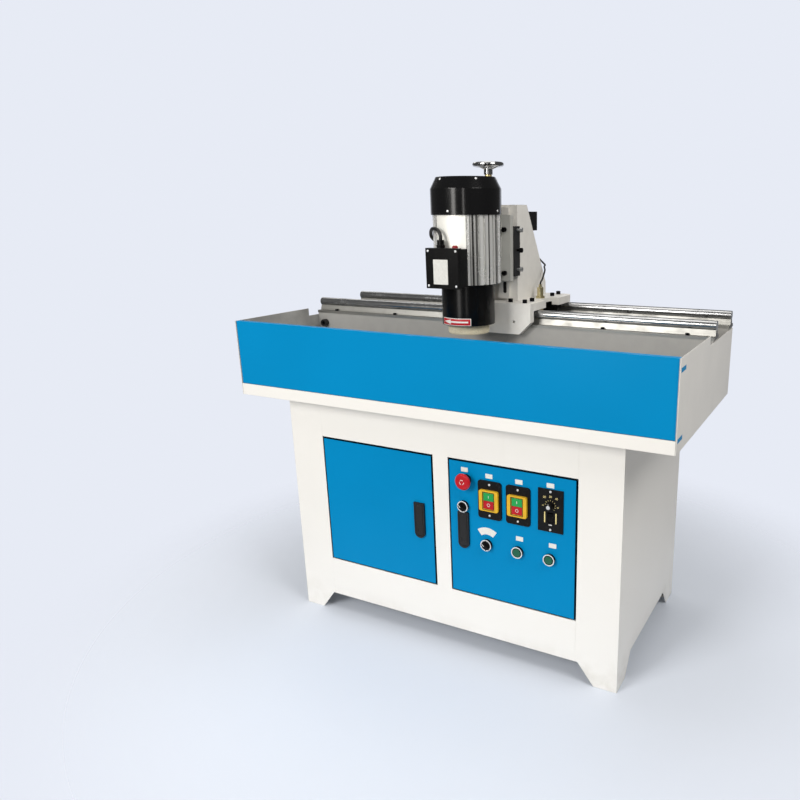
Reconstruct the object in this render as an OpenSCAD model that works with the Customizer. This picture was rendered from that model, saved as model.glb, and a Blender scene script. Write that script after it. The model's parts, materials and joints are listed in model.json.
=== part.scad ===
// Planer knife grinder: a cabinet, a splash tray, round rails, a travelling carriage and a vertical
// grinding head over a tilting magnetic chuck. Millimetres, +Z up, front towards -Y.
// The origin is on the floor, under the middle of the tray.

/* [Cabinet] */
// Width of the cabinet
cabinet_w = 1000; // [900:10:1100]
// Height of the cabinet up to the tray
cabinet_h = 663; // [600:1:720]
// How far the cabinet front stands behind the tray front
cabinet_setback = 50; // [40:1:70]
// Thickness of the folded sheet
sheet_t = 2; // [1.5:0.1:2.5]
// Width of each front stile
stile_w = 112; // [100:1:124]
// Width of the post between the doors
mullion_w = 46; // [40:1:56]
// Offset of that post from the middle
mullion_x = 3; // [-10:1:10]
// Height of the lower edge of the door openings
opening_z = 174; // [160:1:190]
// Height of the door openings
opening_h = 380; // [360:1:400]
// Gap round each door
door_gap = 3; // [2.5:0.1:4]
// Depth of each door's folded edge
door_d = 18; // [15:1:22]
// Width of a foot seen from the front
foot_w = 62; // [50:1:75]
// Width of a foot seen from the side
side_foot_w = 66; // [50:1:80]
// Height of the arch between the feet
arch_h = 58; // [45:1:70]
// Sideways run of the slope at each end of an arch
arch_run = 44; // [30:1:50]

/* [Tray] */
// Length of the tray
tray_l = 1250; // [1200:10:1320]
// Depth of the tray
tray_d = 590; // [580:1:640]
// Height of the tray
tray_h = 210; // [195:1:230]
// Height of the pale band under the front plate
band_h = 32; // [25:1:40]
// Width of the front edge of each tray end
edge_w = 3; // [2:0.5:6]
// Depth of the tall part of each tray end
end_step_d = 291; // [270:1:310]
// How far the rest of each end is lower
end_step_h = 23; // [18:1:30]

/* [Bed and rails] */
// Depth of the bed over both beams
bed_d = 255; // [252:1:260]
// Height of the bed over the tray floor
bed_h = 190; // [180:1:200]
// Depth of the front beam
front_beam_d = 77; // [74:1:80]
// Depth of the rear beam
rear_beam_d = 56; // [56:1:58]
// Wall of the beams
beam_wall = 8; // [6:1:12]
// Diameter of the rail shafts
rail_d = 25; // [24:0.5:26]
// Width of the rail supports
rail_base_w = 55; // [52:1:55]
// Height of the shaft axes over the bed
rail_axis_h = 33; // [32:1:36]

/* [Carriage] */
// Length of the carriage
carriage_l = 279; // [270:1:300]
// Place of the carriage along the rails
carriage_x = -5; // [-60:1:60]
// Thickness of the carriage plate
plate_t = 12; // [10:1:14]
// Depth of the apron at the front of the carriage
apron_d = 22; // [18:1:24]
// Height of the apron
apron_h = 84; // [70:1:90]
// Corner cut of the apron
apron_cut = 34; // [20:1:40]
// Length of a bearing block
block_l = 65; // [55:1:75]
// Width of a bearing block
block_w = 54; // [50:1:54]
// Height of a bearing block over its shaft axis
block_top = 22; // [21:0.5:24]
// Running clearance of shafts and pins, on the radius
run_fit = 0.05; // [0.03:0.01:0.08]
// Clearance between parts that slide past each other
slide_gap = 0.4; // [0.35:0.05:0.6]

/* [Column and head] */
// Distance from the column front to the back of the bed
column_in = 222; // [218:1:224]
// Width of the column
column_w = 156; // [150:1:162]
// Height of the column over the carriage
column_h = 258; // [252:1:270]
// Depth of the column at its top
column_top_d = 60; // [55:1:75]
// Depth of the column at its foot
column_base_d = 190; // [175:1:195]
// Width of the head slide
slide_w = 172; // [166:1:178]
// Depth of the head slide
slide_d = 34; // [32:1:36]
// Height of the head slide
slide_h = 132; // [120:1:140]
// Width of the motor plate
motor_plate_w = 164; // [150:1:170]
// Thickness of the motor plate
motor_plate_t = 17; // [14:1:20]
// Distance from the motor axis to its foot
motor_foot_h = 88; // [87:0.5:92]
// Diameter over the motor fins
motor_d = 175; // [174:0.5:176]
// Length of the finned motor body
motor_l = 173; // [160:1:180]
// Diameter of the fan cover
fan_cover_d = 183; // [180:1:186]
// Height of the fan cover
fan_cover_h = 92; // [85:1:98]
// Diameter of the wheel guard
guard_d = 140; // [134:1:146]
// Height of the wheel guard
guard_h = 107; // [100:1:115]
// Outer diameter of the cup wheel
wheel_d = 110; // [100:1:116]
// How far the cup wheel stands below its guard
wheel_drop = 25; // [15:1:28]
// Height of the wheel's lower edge over the tray top, negative when below it
wheel_rise = -23; // [-26:1:-15]
// Diameter of the motor shaft
spindle_d = 24; // [20:1:28]
// Outer diameter of the handwheel
handwheel_d = 85; // [75:1:88]
// Diameter of the feed screw
feed_d = 16; // [14:1:18]

/* [Chuck] */
// Length of the magnetic chuck
chuck_l = 820; // [780:10:840]
// Width of the magnetic chuck
chuck_w = 120; // [100:1:130]
// Height of the magnetic chuck
chuck_h = 34; // [28:1:36]
// Height of the tilt axis over the tray floor
tilt_axis_h = 92; // [88:1:96]
// Diameter of the tilt pins
tilt_pin_d = 30; // [24:1:34]

/* [Controls] */
// Diameter of the mushroom stop button
mushroom_d = 44; // [40:1:46]
// Diameter of the round control bezels
bezel_d = 29; // [27:0.5:31]
// Width of the switch plates
switch_w = 67; // [62:1:70]
// Height of the switch plates
switch_h = 103; // [96:1:106]
// Height of the speed control plate
speed_h = 112; // [104:1:116]
// Width of the door latches
latch_w = 32; // [28:1:34]
// Height of the door latches
latch_h = 102; // [94:1:104]

/* [Hidden] */
$fn = 64;

// Overrun of every cut
cut = 1;
// Clearance of pieces that sit beside each other without moving
rest_gap = 0.3;

// Levels and planes shared by all pieces
front_y = -tray_d / 2;
back_y = tray_d / 2;
cabinet_y = front_y + cabinet_setback;
tray_top = cabinet_h + tray_h;
pan_top = cabinet_h + sheet_t;
bed_y = back_y - bed_d;
bed_top = pan_top + bed_h;
end_x = tray_l / 2 - sheet_t;
rail_z = bed_top + rail_axis_h;
front_rail_y = bed_y + rail_base_w / 2;
rear_rail_y = back_y - rest_gap - rail_base_w / 2;
channel_y0 = bed_y + front_beam_d;
channel_y1 = back_y - rear_beam_d;

// Doors
side_x = cabinet_w / 2;
opening_top = opening_z + opening_h;
left_open = [stile_w - side_x, mullion_x - mullion_w / 2];
right_open = [mullion_x + mullion_w / 2, side_x - stile_w];
pin_inset = 6;
pin_r = 2.5;
pin_l = 10;
lug_w = 20;
lug_d = 14;
lug_t = 6;

// Carriage
plate_z = rail_z + block_top;
plate_top = plate_z + plate_t;
apron_gap = 4;
apron_y1 = bed_y - apron_gap;
apron_y0 = apron_y1 - apron_d;
plate_y1 = back_y - cut;
block_x_share = 0.315;
rim_w = 14;
rim_drop = 9;

// Column and head stack, from the column front forwards
column_y = back_y - column_in;
column_top = plate_top + column_h;
slide_y1 = column_y - slide_gap;
slide_y0 = column_y - slide_d;
motor_plate_y0 = slide_y0 - motor_plate_t;
axis_y = motor_plate_y0 - motor_foot_h;
wheel_z = tray_top + wheel_rise;
guard_z = wheel_z + wheel_drop;
body_z = guard_z + guard_h;
cover_z = body_z + motor_l;
cover_top = cover_z + fan_cover_h;
motor_plate_drop = 2;
motor_plate_z = body_z - motor_plate_drop;
motor_plate_gap = 1;
motor_plate_top = cover_z - motor_plate_gap;
slide_lift = 12;
slide_z = motor_plate_z + slide_lift;
way_d = 16;
way_w = 25;
way_flare = 8;
way_x = 34;
way_foot_in = 8;
way_top_in = 6;
way_z0 = plate_top + way_foot_in;
way_z1 = column_top - way_top_in;
feed_y = column_y - slide_d / 2;
screw_room = 22;

// Feed screw bearing over the column
bridge_w = 30;
bridge_back = 12;
bridge_t = 16;
boss_r = 13;
boss_drop = 4;
boss_top = cover_top - boss_drop;
collar_r = 9.5;
collar_t = 15;

// Rack and pinion under the carriage
tooth_m = 2;
tooth_pitch = PI * tooth_m;
pinion_teeth = 16;
pinion_r = tooth_m * pinion_teeth / 2;
tooth_w_share = 0.4;
tooth_tip_share = 0.24;
tooth_head_share = 0.85;
tooth_foot_share = 1.25;
rack_t = 14;
rack_h = 14;
rack_drop = 12;
rack_z = bed_top - rack_drop;
pitch_z = rack_z - rack_h;
pinion_z = pitch_z - pinion_r;
pinion_y0 = channel_y0 + 2 * slide_gap;
pinion_t = rack_t - 2 * slide_gap;

// Travel motor in the channel
gearbox_s = 76;
gearbox_d = 36;
travel_motor_d = 72;
gearbox_gap = 2;
motor_end_gap = 4;
travel_motor_y0 = channel_y0 + rack_t + gearbox_gap;
travel_motor_y1 = channel_y1 - motor_end_gap;
hanger_t = 8;
hanger_w = 60;

// Chuck
tilt_z = pan_top + tilt_axis_h;
bracket_t = 18;
bracket_w = 90;
bracket_gap = 1;

// Controls on the right door and the latches, as shares of the width and height of their opening
estop_shares = [0.152, 0.863];
power_shares = [0.127, 0.668];
coolant_shares = [0.312, 0.416];
jog_left_shares = [0.558, 0.413];
jog_right_shares = [0.801, 0.411];
wheel_switch_shares = [0.341, 0.746];
travel_switch_shares = [0.562, 0.746];
speed_shares = [0.805, 0.753];
right_latch_shares = [0.123, 0.489];
left_latch_shares = [0.872, 0.489];
function on_opening(open, shares) =
    [open[0] + shares[0] * (open[1] - open[0]), opening_z + shares[1] * opening_h];
estop_at = on_opening(right_open, estop_shares);
power_at = on_opening(right_open, power_shares);
coolant_at = on_opening(right_open, coolant_shares);
jog_left_at = on_opening(right_open, jog_left_shares);
jog_right_at = on_opening(right_open, jog_right_shares);
wheel_switch_at = on_opening(right_open, wheel_switch_shares);
travel_switch_at = on_opening(right_open, travel_switch_shares);
speed_at = on_opening(right_open, speed_shares);
knob_lift = 14;
toggle_drop = 18;
left_latch_at = on_opening(left_open, left_latch_shares);
right_latch_at = on_opening(right_open, right_latch_shares);

// Box between two corners
module span(a, b) {
    translate(a) cube(b - a);
}

// Rod along Z, X or Y from a start point
module rod_z(at, r, l) {
    translate(at) cylinder(r = r, h = l);
}
module rod_x(at, r, l) {
    translate(at) rotate([0, 90, 0]) cylinder(r = r, h = l);
}
module rod_y(at, r, l) {
    translate(at) rotate([-90, 0, 0]) cylinder(r = r, h = l);
}

// The children and their mirror image about the middle of the part
module both_sides() {
    children();
    mirror([1, 0, 0]) children();
}

// Plate in the XZ plane from y0 to y1
module slab_y(y0, y1) {
    translate([0, y1, 0]) rotate([90, 0, 0]) linear_extrude(y1 - y0) children();
}

// Plate in the YZ plane from x0 to x1
module slab_x(x0, x1) {
    translate([x0, 0, 0]) rotate([90, 0, 90]) linear_extrude(x1 - x0) children();
}

// Rectangle with round corners, about its middle
module round_rect(w, h, r) {
    square([w - 2 * r, h], center = true);
    square([w, h - 2 * r], center = true);
    for (x = [-1, 1], y = [-1, 1])
        translate([x * (w / 2 - r), y * (h / 2 - r)]) circle(r);
}

// Cabinet
// Folded sides: each is one sheet that turns the front corner to make a stile, with feet below
foot_flange = 40;
anchor_r = 7;
module side_sheet() {
    difference() {
        union() {
            // front stile with its foot
            slab_y(cabinet_y, cabinet_y + sheet_t) polygon([
                [side_x, 0], [side_x, cabinet_h], [side_x - stile_w, cabinet_h],
                [side_x - stile_w, arch_h], [side_x - foot_w - arch_run, arch_h], [side_x - foot_w, 0]
            ]);
            // side with its two feet
            slab_x(side_x - sheet_t, side_x) polygon([
                [cabinet_y, 0], [cabinet_y + side_foot_w, 0], [cabinet_y + side_foot_w + arch_run, arch_h],
                [back_y - side_foot_w - arch_run, arch_h], [back_y - side_foot_w, 0], [back_y, 0],
                [back_y, cabinet_h], [cabinet_y, cabinet_h]
            ]);
            // flanges under the feet
            for (y = [cabinet_y, back_y - foot_flange])
                span([side_x - foot_flange, y, 0], [side_x, y + foot_flange, 2 * sheet_t]);
        }
        for (y = [cabinet_y + foot_flange / 2, back_y - foot_flange / 2])
            rod_z([side_x - foot_flange / 2, y, -cut], anchor_r, 2 * sheet_t + 2 * cut);
    }
}

module cabinet_sides() {
    color("ivory") both_sides() side_sheet();
}

// Rails and post that frame the two door openings
module front_rails() {
    x = side_x - stile_w;
    color("ivory") slab_y(cabinet_y, cabinet_y + sheet_t) difference() {
        translate([-x, arch_h]) square([2 * x, cabinet_h - arch_h]);
        translate([-x - cut, opening_z]) square([left_open[1] + x + cut, opening_h]);
        translate([right_open[0], opening_z]) square([x + cut - right_open[0], opening_h]);
    }
}

back_arch_x = side_x - foot_w - arch_run;
vent_l = 90;
vent_w = 8;
vent_pitch = 22;
vent_count = 6;
vent_z_share = 0.7;
module back_panel() {
    x = side_x - sheet_t;
    z0 = 2 * sheet_t;
    color("ivory") slab_y(back_y - sheet_t, back_y) difference() {
        polygon([
            [-x, z0], [-x, cabinet_h], [x, cabinet_h], [x, z0], [side_x - foot_w, z0],
            [back_arch_x, arch_h], [-back_arch_x, arch_h], [foot_w - side_x, z0]
        ]);
        for (i = [0 : vent_count - 1], s = [-1, 1])
            translate([s * side_x / 2, cabinet_h * vent_z_share - i * vent_pitch])
                round_rect(vent_l, vent_w, vent_w / 2 - sheet_t / 10);
    }
}

floor_drop = 24;
floor_z = opening_z - floor_drop;
floor_lip = 20;
module cabinet_floor() {
    x = side_x - sheet_t;
    color("ivory") difference() {
        span([-x, cabinet_y + sheet_t, floor_z - floor_lip], [x, back_y - sheet_t, floor_z]);
        span([sheet_t - x, cabinet_y + 2 * sheet_t, floor_z - floor_lip - cut],
            [x - sheet_t, back_y - 2 * sheet_t, floor_z - sheet_t]);
    }
}

module partition() {
    color("ivory") span([mullion_x - sheet_t / 2, cabinet_y + sheet_t, floor_z],
        [mullion_x + sheet_t / 2, back_y - sheet_t, cabinet_h]);
}

// Door: a folded pan with two hinge pins, made for an opening from x0 to x1, hinged at hinge_x
module door_pan(x0, x1, hinge_x) {
    z0 = opening_z + door_gap;
    z1 = opening_top - door_gap;
    y1 = cabinet_y + door_d;
    difference() {
        span([x0, cabinet_y, z0], [x1, y1, z1]);
        span([x0 + sheet_t, cabinet_y + sheet_t, z0 + sheet_t], [x1 - sheet_t, y1 + cut, z1 - sheet_t]);
        children();
    }
    for (z = [z0 - pin_l, z1 - cut])
        rod_z([hinge_x, cabinet_y + pin_inset, z], pin_r, pin_l + cut);
}

left_door_x = left_open + [door_gap, -door_gap];
right_door_x = right_open + [door_gap, -door_gap];
left_pin_x = left_door_x[0] + pin_inset;
right_pin_x = right_door_x[1] - pin_inset;

// Cut-out behind a latch
latch_hole_side = 4;
latch_hole_end = 11;
latch_hole_w = latch_w - 2 * latch_hole_side;
latch_hole_h = latch_h - 2 * latch_hole_end;
module latch_hole(at) {
    span([at[0] - latch_hole_w / 2, cabinet_y - cut, at[1] - latch_hole_h / 2],
        [at[0] + latch_hole_w / 2, cabinet_y + sheet_t + cut, at[1] + latch_hole_h / 2]);
}

module left_door() {
    color("deepskyblue") door_pan(left_door_x[0], left_door_x[1], left_pin_x) latch_hole(left_latch_at);
}

collar_hole_r = 11;
round_controls = [estop_at, power_at, coolant_at, jog_left_at, jog_right_at];
switch_hole_w = 46;
switch_hole_h = 50;
speed_hole_h = 74;
module right_door() {
    color("deepskyblue") door_pan(right_door_x[0], right_door_x[1], right_pin_x) {
        latch_hole(right_latch_at);
        for (p = round_controls)
            rod_y([p[0], cabinet_y - cut, p[1]], collar_hole_r, sheet_t + 2 * cut);
        for (p = [wheel_switch_at, travel_switch_at])
            span([p[0] - switch_hole_w / 2, cabinet_y - cut, p[1] - switch_hole_h / 2],
                [p[0] + switch_hole_w / 2, cabinet_y + sheet_t + cut, p[1] + switch_hole_h / 2]);
        span([speed_at[0] - switch_hole_w / 2, cabinet_y - cut, speed_at[1] - speed_hole_h / 2],
            [speed_at[0] + switch_hole_w / 2, cabinet_y + sheet_t + cut, speed_at[1] + speed_hole_h / 2]);
    }
}

// Hinge lugs behind the rails, above and below each door
module door_hinges() {
    y0 = cabinet_y + sheet_t;
    lug_zs = [opening_z - lug_t - rest_gap, opening_top + rest_gap];
    color("ivory") for (x = [left_pin_x, right_pin_x], z = lug_zs)
        difference() {
            span([x - lug_w / 2, y0, z], [x + lug_w / 2, y0 + lug_d, z + lug_t]);
            rod_z([x, cabinet_y + pin_inset, z - cut], pin_r + run_fit, lug_t + 2 * cut);
        }
}

// Latch: a case on the door with a lever that swings out on a cross pin near its top
latch_proud = 6;
latch_base_t = 2;
lever_side = 5;
lever_w = latch_w - 2 * lever_side;
lever_gap = 0.95;
lever_pin_r = 1.2;
lever_pin_l = 2.5;
lever_t = latch_proud - latch_base_t - lever_gap;
lever_top_drop = 5;
lever_end_in = 8;
lever_l = latch_h - lever_top_drop - lever_end_in;
lever_pin_y = cabinet_y - latch_proud + lever_t / 2;
lever_pin_z = latch_h / 2 - lever_top_drop - lever_t / 2;
module latch_case(at) {
    y0 = cabinet_y - latch_proud;
    translate([at[0], 0, at[1]]) difference() {
        union() {
            slab_y(y0, cabinet_y) {
                translate([0, -latch_h / 2 + latch_w / 2]) circle(latch_w / 2);
                translate([-latch_w / 2, -latch_h / 2 + latch_w / 2])
                    square([latch_w, latch_h - latch_w / 2]);
            }
            span([-latch_hole_w / 2 + rest_gap, cabinet_y - cut, -latch_hole_h / 2 + rest_gap],
                [latch_hole_w / 2 - rest_gap, cabinet_y + door_d, latch_hole_h / 2 - rest_gap]);
        }
        // recess for the lever
        span([-lever_w / 2 - lever_gap, y0 - cut, -latch_h / 2 + lever_gap * 2 + lever_top_drop],
            [lever_w / 2 + lever_gap, cabinet_y - latch_base_t, latch_h / 2 - lever_top_drop + lever_gap]);
        // holes for the ends of the lever's pin
        rod_x([-lever_w / 2 - lever_pin_l - rest_gap, lever_pin_y, lever_pin_z],
            lever_pin_r + run_fit, lever_w + 2 * lever_pin_l + 2 * rest_gap);
    }
}

module latch_lever(at) {
    y0 = cabinet_y - latch_proud;
    top = latch_h / 2 - lever_top_drop;
    color("black") translate([at[0], 0, at[1]]) {
        difference() {
            span([-lever_w / 2, y0, top - lever_l], [lever_w / 2, y0 + lever_t, top]);
            span([-lever_w / 4, y0 - cut, top - lever_l + lever_w / 2],
                [lever_w / 4, y0 + lever_t / 4, top - lever_l + lever_w]);
        }
        rod_x([-lever_w / 2 - lever_pin_l, lever_pin_y, lever_pin_z],
            lever_pin_r, lever_w + 2 * lever_pin_l);
    }
}

module left_latch_case() { color("black") latch_case(left_latch_at); }
module left_latch_lever() { latch_lever(left_latch_at); }
module right_latch_case() { color("black") latch_case(right_latch_at); }
module right_latch_lever() { latch_lever(right_latch_at); }

// Controls on the right door
// Round control body: a bezel in front of the door and a contact block behind it, bored for its button
bezel_t = 9;
block_s = 28;
block_d = 40;
stem_r = 6;
stem_l = 20;
button_r = 10.5;
button_pocket = 7;
module collar_body(at) {
    difference() {
        union() {
            rod_y([at[0], cabinet_y - bezel_t, at[1]], bezel_d / 2, bezel_t);
            rod_y([at[0], cabinet_y - cut, at[1]], collar_hole_r - rest_gap, sheet_t + 2 * cut);
            span([at[0] - block_s / 2, cabinet_y + sheet_t, at[1] - block_s / 2],
                [at[0] + block_s / 2, cabinet_y + sheet_t + block_d, at[1] + block_s / 2]);
        }
        rod_y([at[0], cabinet_y - bezel_t - cut, at[1]], button_r + slide_gap, button_pocket + cut);
        rod_y([at[0], cabinet_y - bezel_t, at[1]], stem_r + run_fit, bezel_t + stem_l + sheet_t);
    }
}

module control_collars() {
    color("dimgray") for (p = round_controls) collar_body(p);
}

// Stem that guides a round control in its body
module stem(at, y0, l) {
    rod_y([at[0], y0 - cut, at[1]], stem_r, l + cut);
}

mushroom_t = 10;
mushroom_travel = 5;
mushroom_edge = 4;
module estop_button() {
    y1 = cabinet_y - bezel_t - mushroom_travel - 2 * slide_gap;
    color("red") {
        translate([estop_at[0], y1, estop_at[1]]) rotate([90, 0, 0]) rotate_extrude() polygon([
            [0, 0], [mushroom_d / 2 - mushroom_edge / 2, 0], [mushroom_d / 2, mushroom_edge],
            [mushroom_d / 2, mushroom_t - mushroom_edge], [mushroom_d / 2 - mushroom_edge, mushroom_t],
            [0, mushroom_t]
        ]);
        stem(estop_at, y1, mushroom_travel + bezel_t + mushroom_travel);
    }
}

knob_bar_w = 8;
knob_bar_t = 9;
selector_turn = -45;
module selector(at) {
    y1 = cabinet_y - bezel_t + button_pocket - slide_gap;
    y0 = cabinet_y - bezel_t - slide_gap;
    color("black") {
        rod_y([at[0], y0, at[1]], button_r, y1 - y0);
        intersection() {
            rod_y([at[0], y0 - knob_bar_t, at[1]], button_r, knob_bar_t + cut);
            translate([at[0], 0, at[1]]) rotate([0, selector_turn, 0])
                span([-knob_bar_w / 2, y0 - knob_bar_t - cut, -bezel_d],
                    [knob_bar_w / 2, y0 + cut, bezel_d]);
        }
        stem(at, y1, stem_l / 2);
    }
}
module selector_power() { selector(power_at); }
module selector_coolant() { selector(coolant_at); }

jog_travel = 3;
module jog_button(at) {
    y0 = cabinet_y - bezel_t - jog_travel / 2;
    y1 = cabinet_y - bezel_t + button_pocket - jog_travel - slide_gap;
    color("green") {
        rod_y([at[0], y0, at[1]], button_r, y1 - y0);
        stem(at, y1, stem_l / 2);
    }
}
module jog_button_left() { jog_button(jog_left_at); }
module jog_button_right() { jog_button(jog_right_at); }

// Plates of the two magnetic switches and of the speed control
switch_t = 4;
switch_r = 8;
key_w = 29;
key_h = 22;
key_gap = 0.8;
key_travel = 3;
key_l = 16;
frame_w = 54;
frame_h = 56;
frame_t = 7;
frame_r = 5;
case_d = 34;
module switch_plate(at) {
    translate([at[0], 0, at[1]]) difference() {
        union() {
            slab_y(cabinet_y - switch_t, cabinet_y) round_rect(switch_w, switch_h, switch_r);
            span([rest_gap - switch_hole_w / 2, cabinet_y - cut, rest_gap - switch_hole_h / 2],
                [switch_hole_w / 2 - rest_gap, cabinet_y + case_d, switch_hole_h / 2 - rest_gap]);
        }
        key_room(cabinet_y + key_l);
    }
}

// Room for the two keys, down to the depth y1
module key_room(y1) {
    for (s = [-1, 1])
        translate([0, 0, s * key_h / 2])
            span([-key_w / 2 - key_gap, cabinet_y - frame_t - switch_t - cut, -key_h / 2 - key_gap / 4],
                [key_w / 2 + key_gap, y1, key_h / 2 + key_gap / 4]);
}

speed_t = 3;
toggle_w = 15;
toggle_h = 26;
toggle_room = 16;
toggle_pin_r = 2;
module speed_plate() {
    at = speed_at;
    translate([at[0], 0, at[1]]) difference() {
        union() {
            slab_y(cabinet_y - speed_t, cabinet_y) square([switch_w, speed_h], center = true);
            span([rest_gap - switch_hole_w / 2, cabinet_y - cut, rest_gap - speed_hole_h / 2],
                [switch_hole_w / 2 - rest_gap, cabinet_y + case_d, speed_hole_h / 2 - rest_gap]);
        }
        rod_y([0, cabinet_y - speed_t - cut, knob_lift], knob_stem_r + run_fit, speed_t + cut + stem_l);
        span([-toggle_w / 2 - key_gap, cabinet_y - speed_t - cut, -toggle_drop - toggle_h / 2 - key_gap],
            [toggle_w / 2 + key_gap, cabinet_y + toggle_room, -toggle_drop + toggle_h / 2 + key_gap]);
        rod_x([-toggle_w / 2 - toggle_pin_l - rest_gap, toggle_y, -toggle_drop],
            toggle_pin_r + run_fit, toggle_w + 2 * toggle_pin_l + 2 * rest_gap);
    }
}

module control_plates() {
    color("black") {
        switch_plate(wheel_switch_at);
        switch_plate(travel_switch_at);
        speed_plate();
    }
}

module switch_frame(at) {
    translate([at[0], 0, at[1]]) difference() {
        slab_y(cabinet_y - switch_t - frame_t, cabinet_y - switch_t) round_rect(frame_w, frame_h, frame_r);
        key_room(cabinet_y);
    }
}
module switch_frames() {
    color("gold") {
        switch_frame(wheel_switch_at);
        switch_frame(travel_switch_at);
    }
}

// Key of a switch: up is 1 for the start key and -1 for the stop key
module switch_key(at, up) {
    y0 = cabinet_y - switch_t - frame_t + key_travel / 2;
    y1 = cabinet_y + key_l - key_travel - slide_gap;
    translate([at[0], 0, at[1] + up * key_h / 2])
        span([-key_w / 2, y0, -key_h / 2 + key_gap / 2], [key_w / 2, y1, key_h / 2 - key_gap / 2]);
}
module wheel_start() { color("limegreen") switch_key(wheel_switch_at, 1); }
module wheel_stop() { color("red") switch_key(wheel_switch_at, -1); }
module travel_start() { color("limegreen") switch_key(travel_switch_at, 1); }
module travel_stop() { color("red") switch_key(travel_switch_at, -1); }

knob_r = 9.5;
knob_stem_r = 3;
knob_h = 14;
knob_taper = 1.5;
module speed_knob() {
    y1 = cabinet_y - speed_t - slide_gap;
    color("black") translate([speed_at[0], y1, speed_at[1] + knob_lift]) {
        rotate([90, 0, 0]) cylinder(r1 = knob_r, r2 = knob_r - knob_taper, h = knob_h);
        rod_y([0, -cut, 0], knob_stem_r, stem_l / 2 + cut);
    }
}

// Rocker of the speed control, on a cross pin
toggle_pin_l = 3;
toggle_y = cabinet_y + sheet_t;
toggle_proud = 9;
rocker_end_gap = 3;
rocker_h = toggle_h - 2 * rocker_end_gap;
module direction_toggle() {
    at = [speed_at[0], speed_at[1] - toggle_drop];
    color("black") translate([at[0], toggle_y, at[1]]) {
        slab_x(-toggle_w / 2, toggle_w / 2) polygon([
            [0, -rocker_h / 2], [-toggle_proud, -rocker_h / 2], [-toggle_proud / 2, 0],
            [-toggle_proud / 2, rocker_h / 2], [0, rocker_h / 2], [toggle_pin_r * 2, 0]
        ]);
        rod_x([-toggle_w / 2 - toggle_pin_l, 0, 0], toggle_pin_r, toggle_w + 2 * toggle_pin_l);
    }
}

// Tray
module tray_pan() {
    color("ivory") {
        span([-end_x, front_y, cabinet_h], [end_x, back_y, pan_top]);
        span([-end_x, front_y, cabinet_h], [end_x, front_y + sheet_t, cabinet_h + band_h]);
    }
}

plate_return = 14;
tab_in = 6;
tab_l = 42;
tab_h = 10;
tab_shares = [0.138, 0.871];
module tray_front_plate() {
    x = end_x - rest_gap;
    y0 = front_y + sheet_t;
    color("deepskyblue") {
        span([-x, y0, pan_top], [x, y0 + sheet_t, tray_top]);
        span([-x, y0, tray_top - sheet_t], [x, y0 + plate_return, tray_top]);
        both_sides() for (s = tab_shares) {
            z = cabinet_h + s * tray_h;
            span([x - sheet_t, y0, z - tab_h / 2], [x, y0 + tab_in + tab_l, z + tab_h / 2]);
            span([x - cut, y0 + tab_in, z - tab_h / 2], [tray_l / 2, y0 + tab_in + tab_l, z + tab_h / 2]);
        }
    }
}

module tray_end() {
    difference() {
        slab_x(end_x, tray_l / 2) polygon([
            [front_y, cabinet_h], [back_y, cabinet_h], [back_y, tray_top - end_step_h],
            [front_y + end_step_d, tray_top - end_step_h], [front_y + end_step_d, tray_top],
            [front_y, tray_top]
        ]);
        // slots for the tabs of the front plate
        for (s = tab_shares)
            translate([end_x, front_y + sheet_t + tab_in, cabinet_h + s * tray_h - tab_h / 2])
                span([-cut, -rest_gap, -rest_gap], [sheet_t + cut, tab_l + rest_gap, tab_h + rest_gap]);
    }
    span([tray_l / 2 - edge_w, front_y, cabinet_h + band_h], [tray_l / 2, front_y + sheet_t, tray_top]);
}
module tray_ends() {
    color("whitesmoke") both_sides() tray_end();
}

// Bed: two hollow beams with a channel between them, tied at the bottom
tie_t = 12;
tie_h = 60;
tie_shares = [-0.38, 0, 0.38];
module beam(y0, y1) {
    difference() {
        span([-end_x, y0, pan_top], [end_x, y1, bed_top]);
        span([-end_x - cut, y0 + beam_wall, pan_top + beam_wall],
            [end_x + cut, y1 - beam_wall, bed_top - beam_wall]);
    }
}
module bed() {
    color("gainsboro") {
        beam(bed_y, channel_y0);
        beam(channel_y1, back_y);
        for (s = tie_shares)
            translate([s * tray_l, 0, 0])
                span([-tie_t / 2, channel_y0 - cut, pan_top],
                    [tie_t / 2, channel_y1 + cut, pan_top + tie_h]);
    }
}

// Rail supports with a saddle under each shaft
rail_l = tray_l;
rail_base_t = 8;
web_base_w = 26;
web_top_w = 13;
module rail_support(y) {
    difference() {
        translate([0, y, bed_top]) slab_x(-rail_l / 2, rail_l / 2) polygon([
            [-rail_base_w / 2, 0], [rail_base_w / 2, 0],
            [rail_base_w / 2, rail_base_t], [web_base_w / 2, rail_base_t],
            [web_top_w / 2, rail_axis_h - rail_d / 4], [-web_top_w / 2, rail_axis_h - rail_d / 4],
            [-web_base_w / 2, rail_base_t], [-rail_base_w / 2, rail_base_t]
        ]);
        rod_x([-rail_l / 2 - cut, y, rail_z], rail_d / 2, rail_l + 2 * cut);
    }
}
module rail_supports() {
    color("silver") for (y = [front_rail_y, rear_rail_y]) rail_support(y);
}
module rail_shafts() {
    color("lightgray") for (y = [front_rail_y, rear_rail_y])
        rod_x([-rail_l / 2, y, rail_z], rail_d / 2, rail_l);
}

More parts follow.
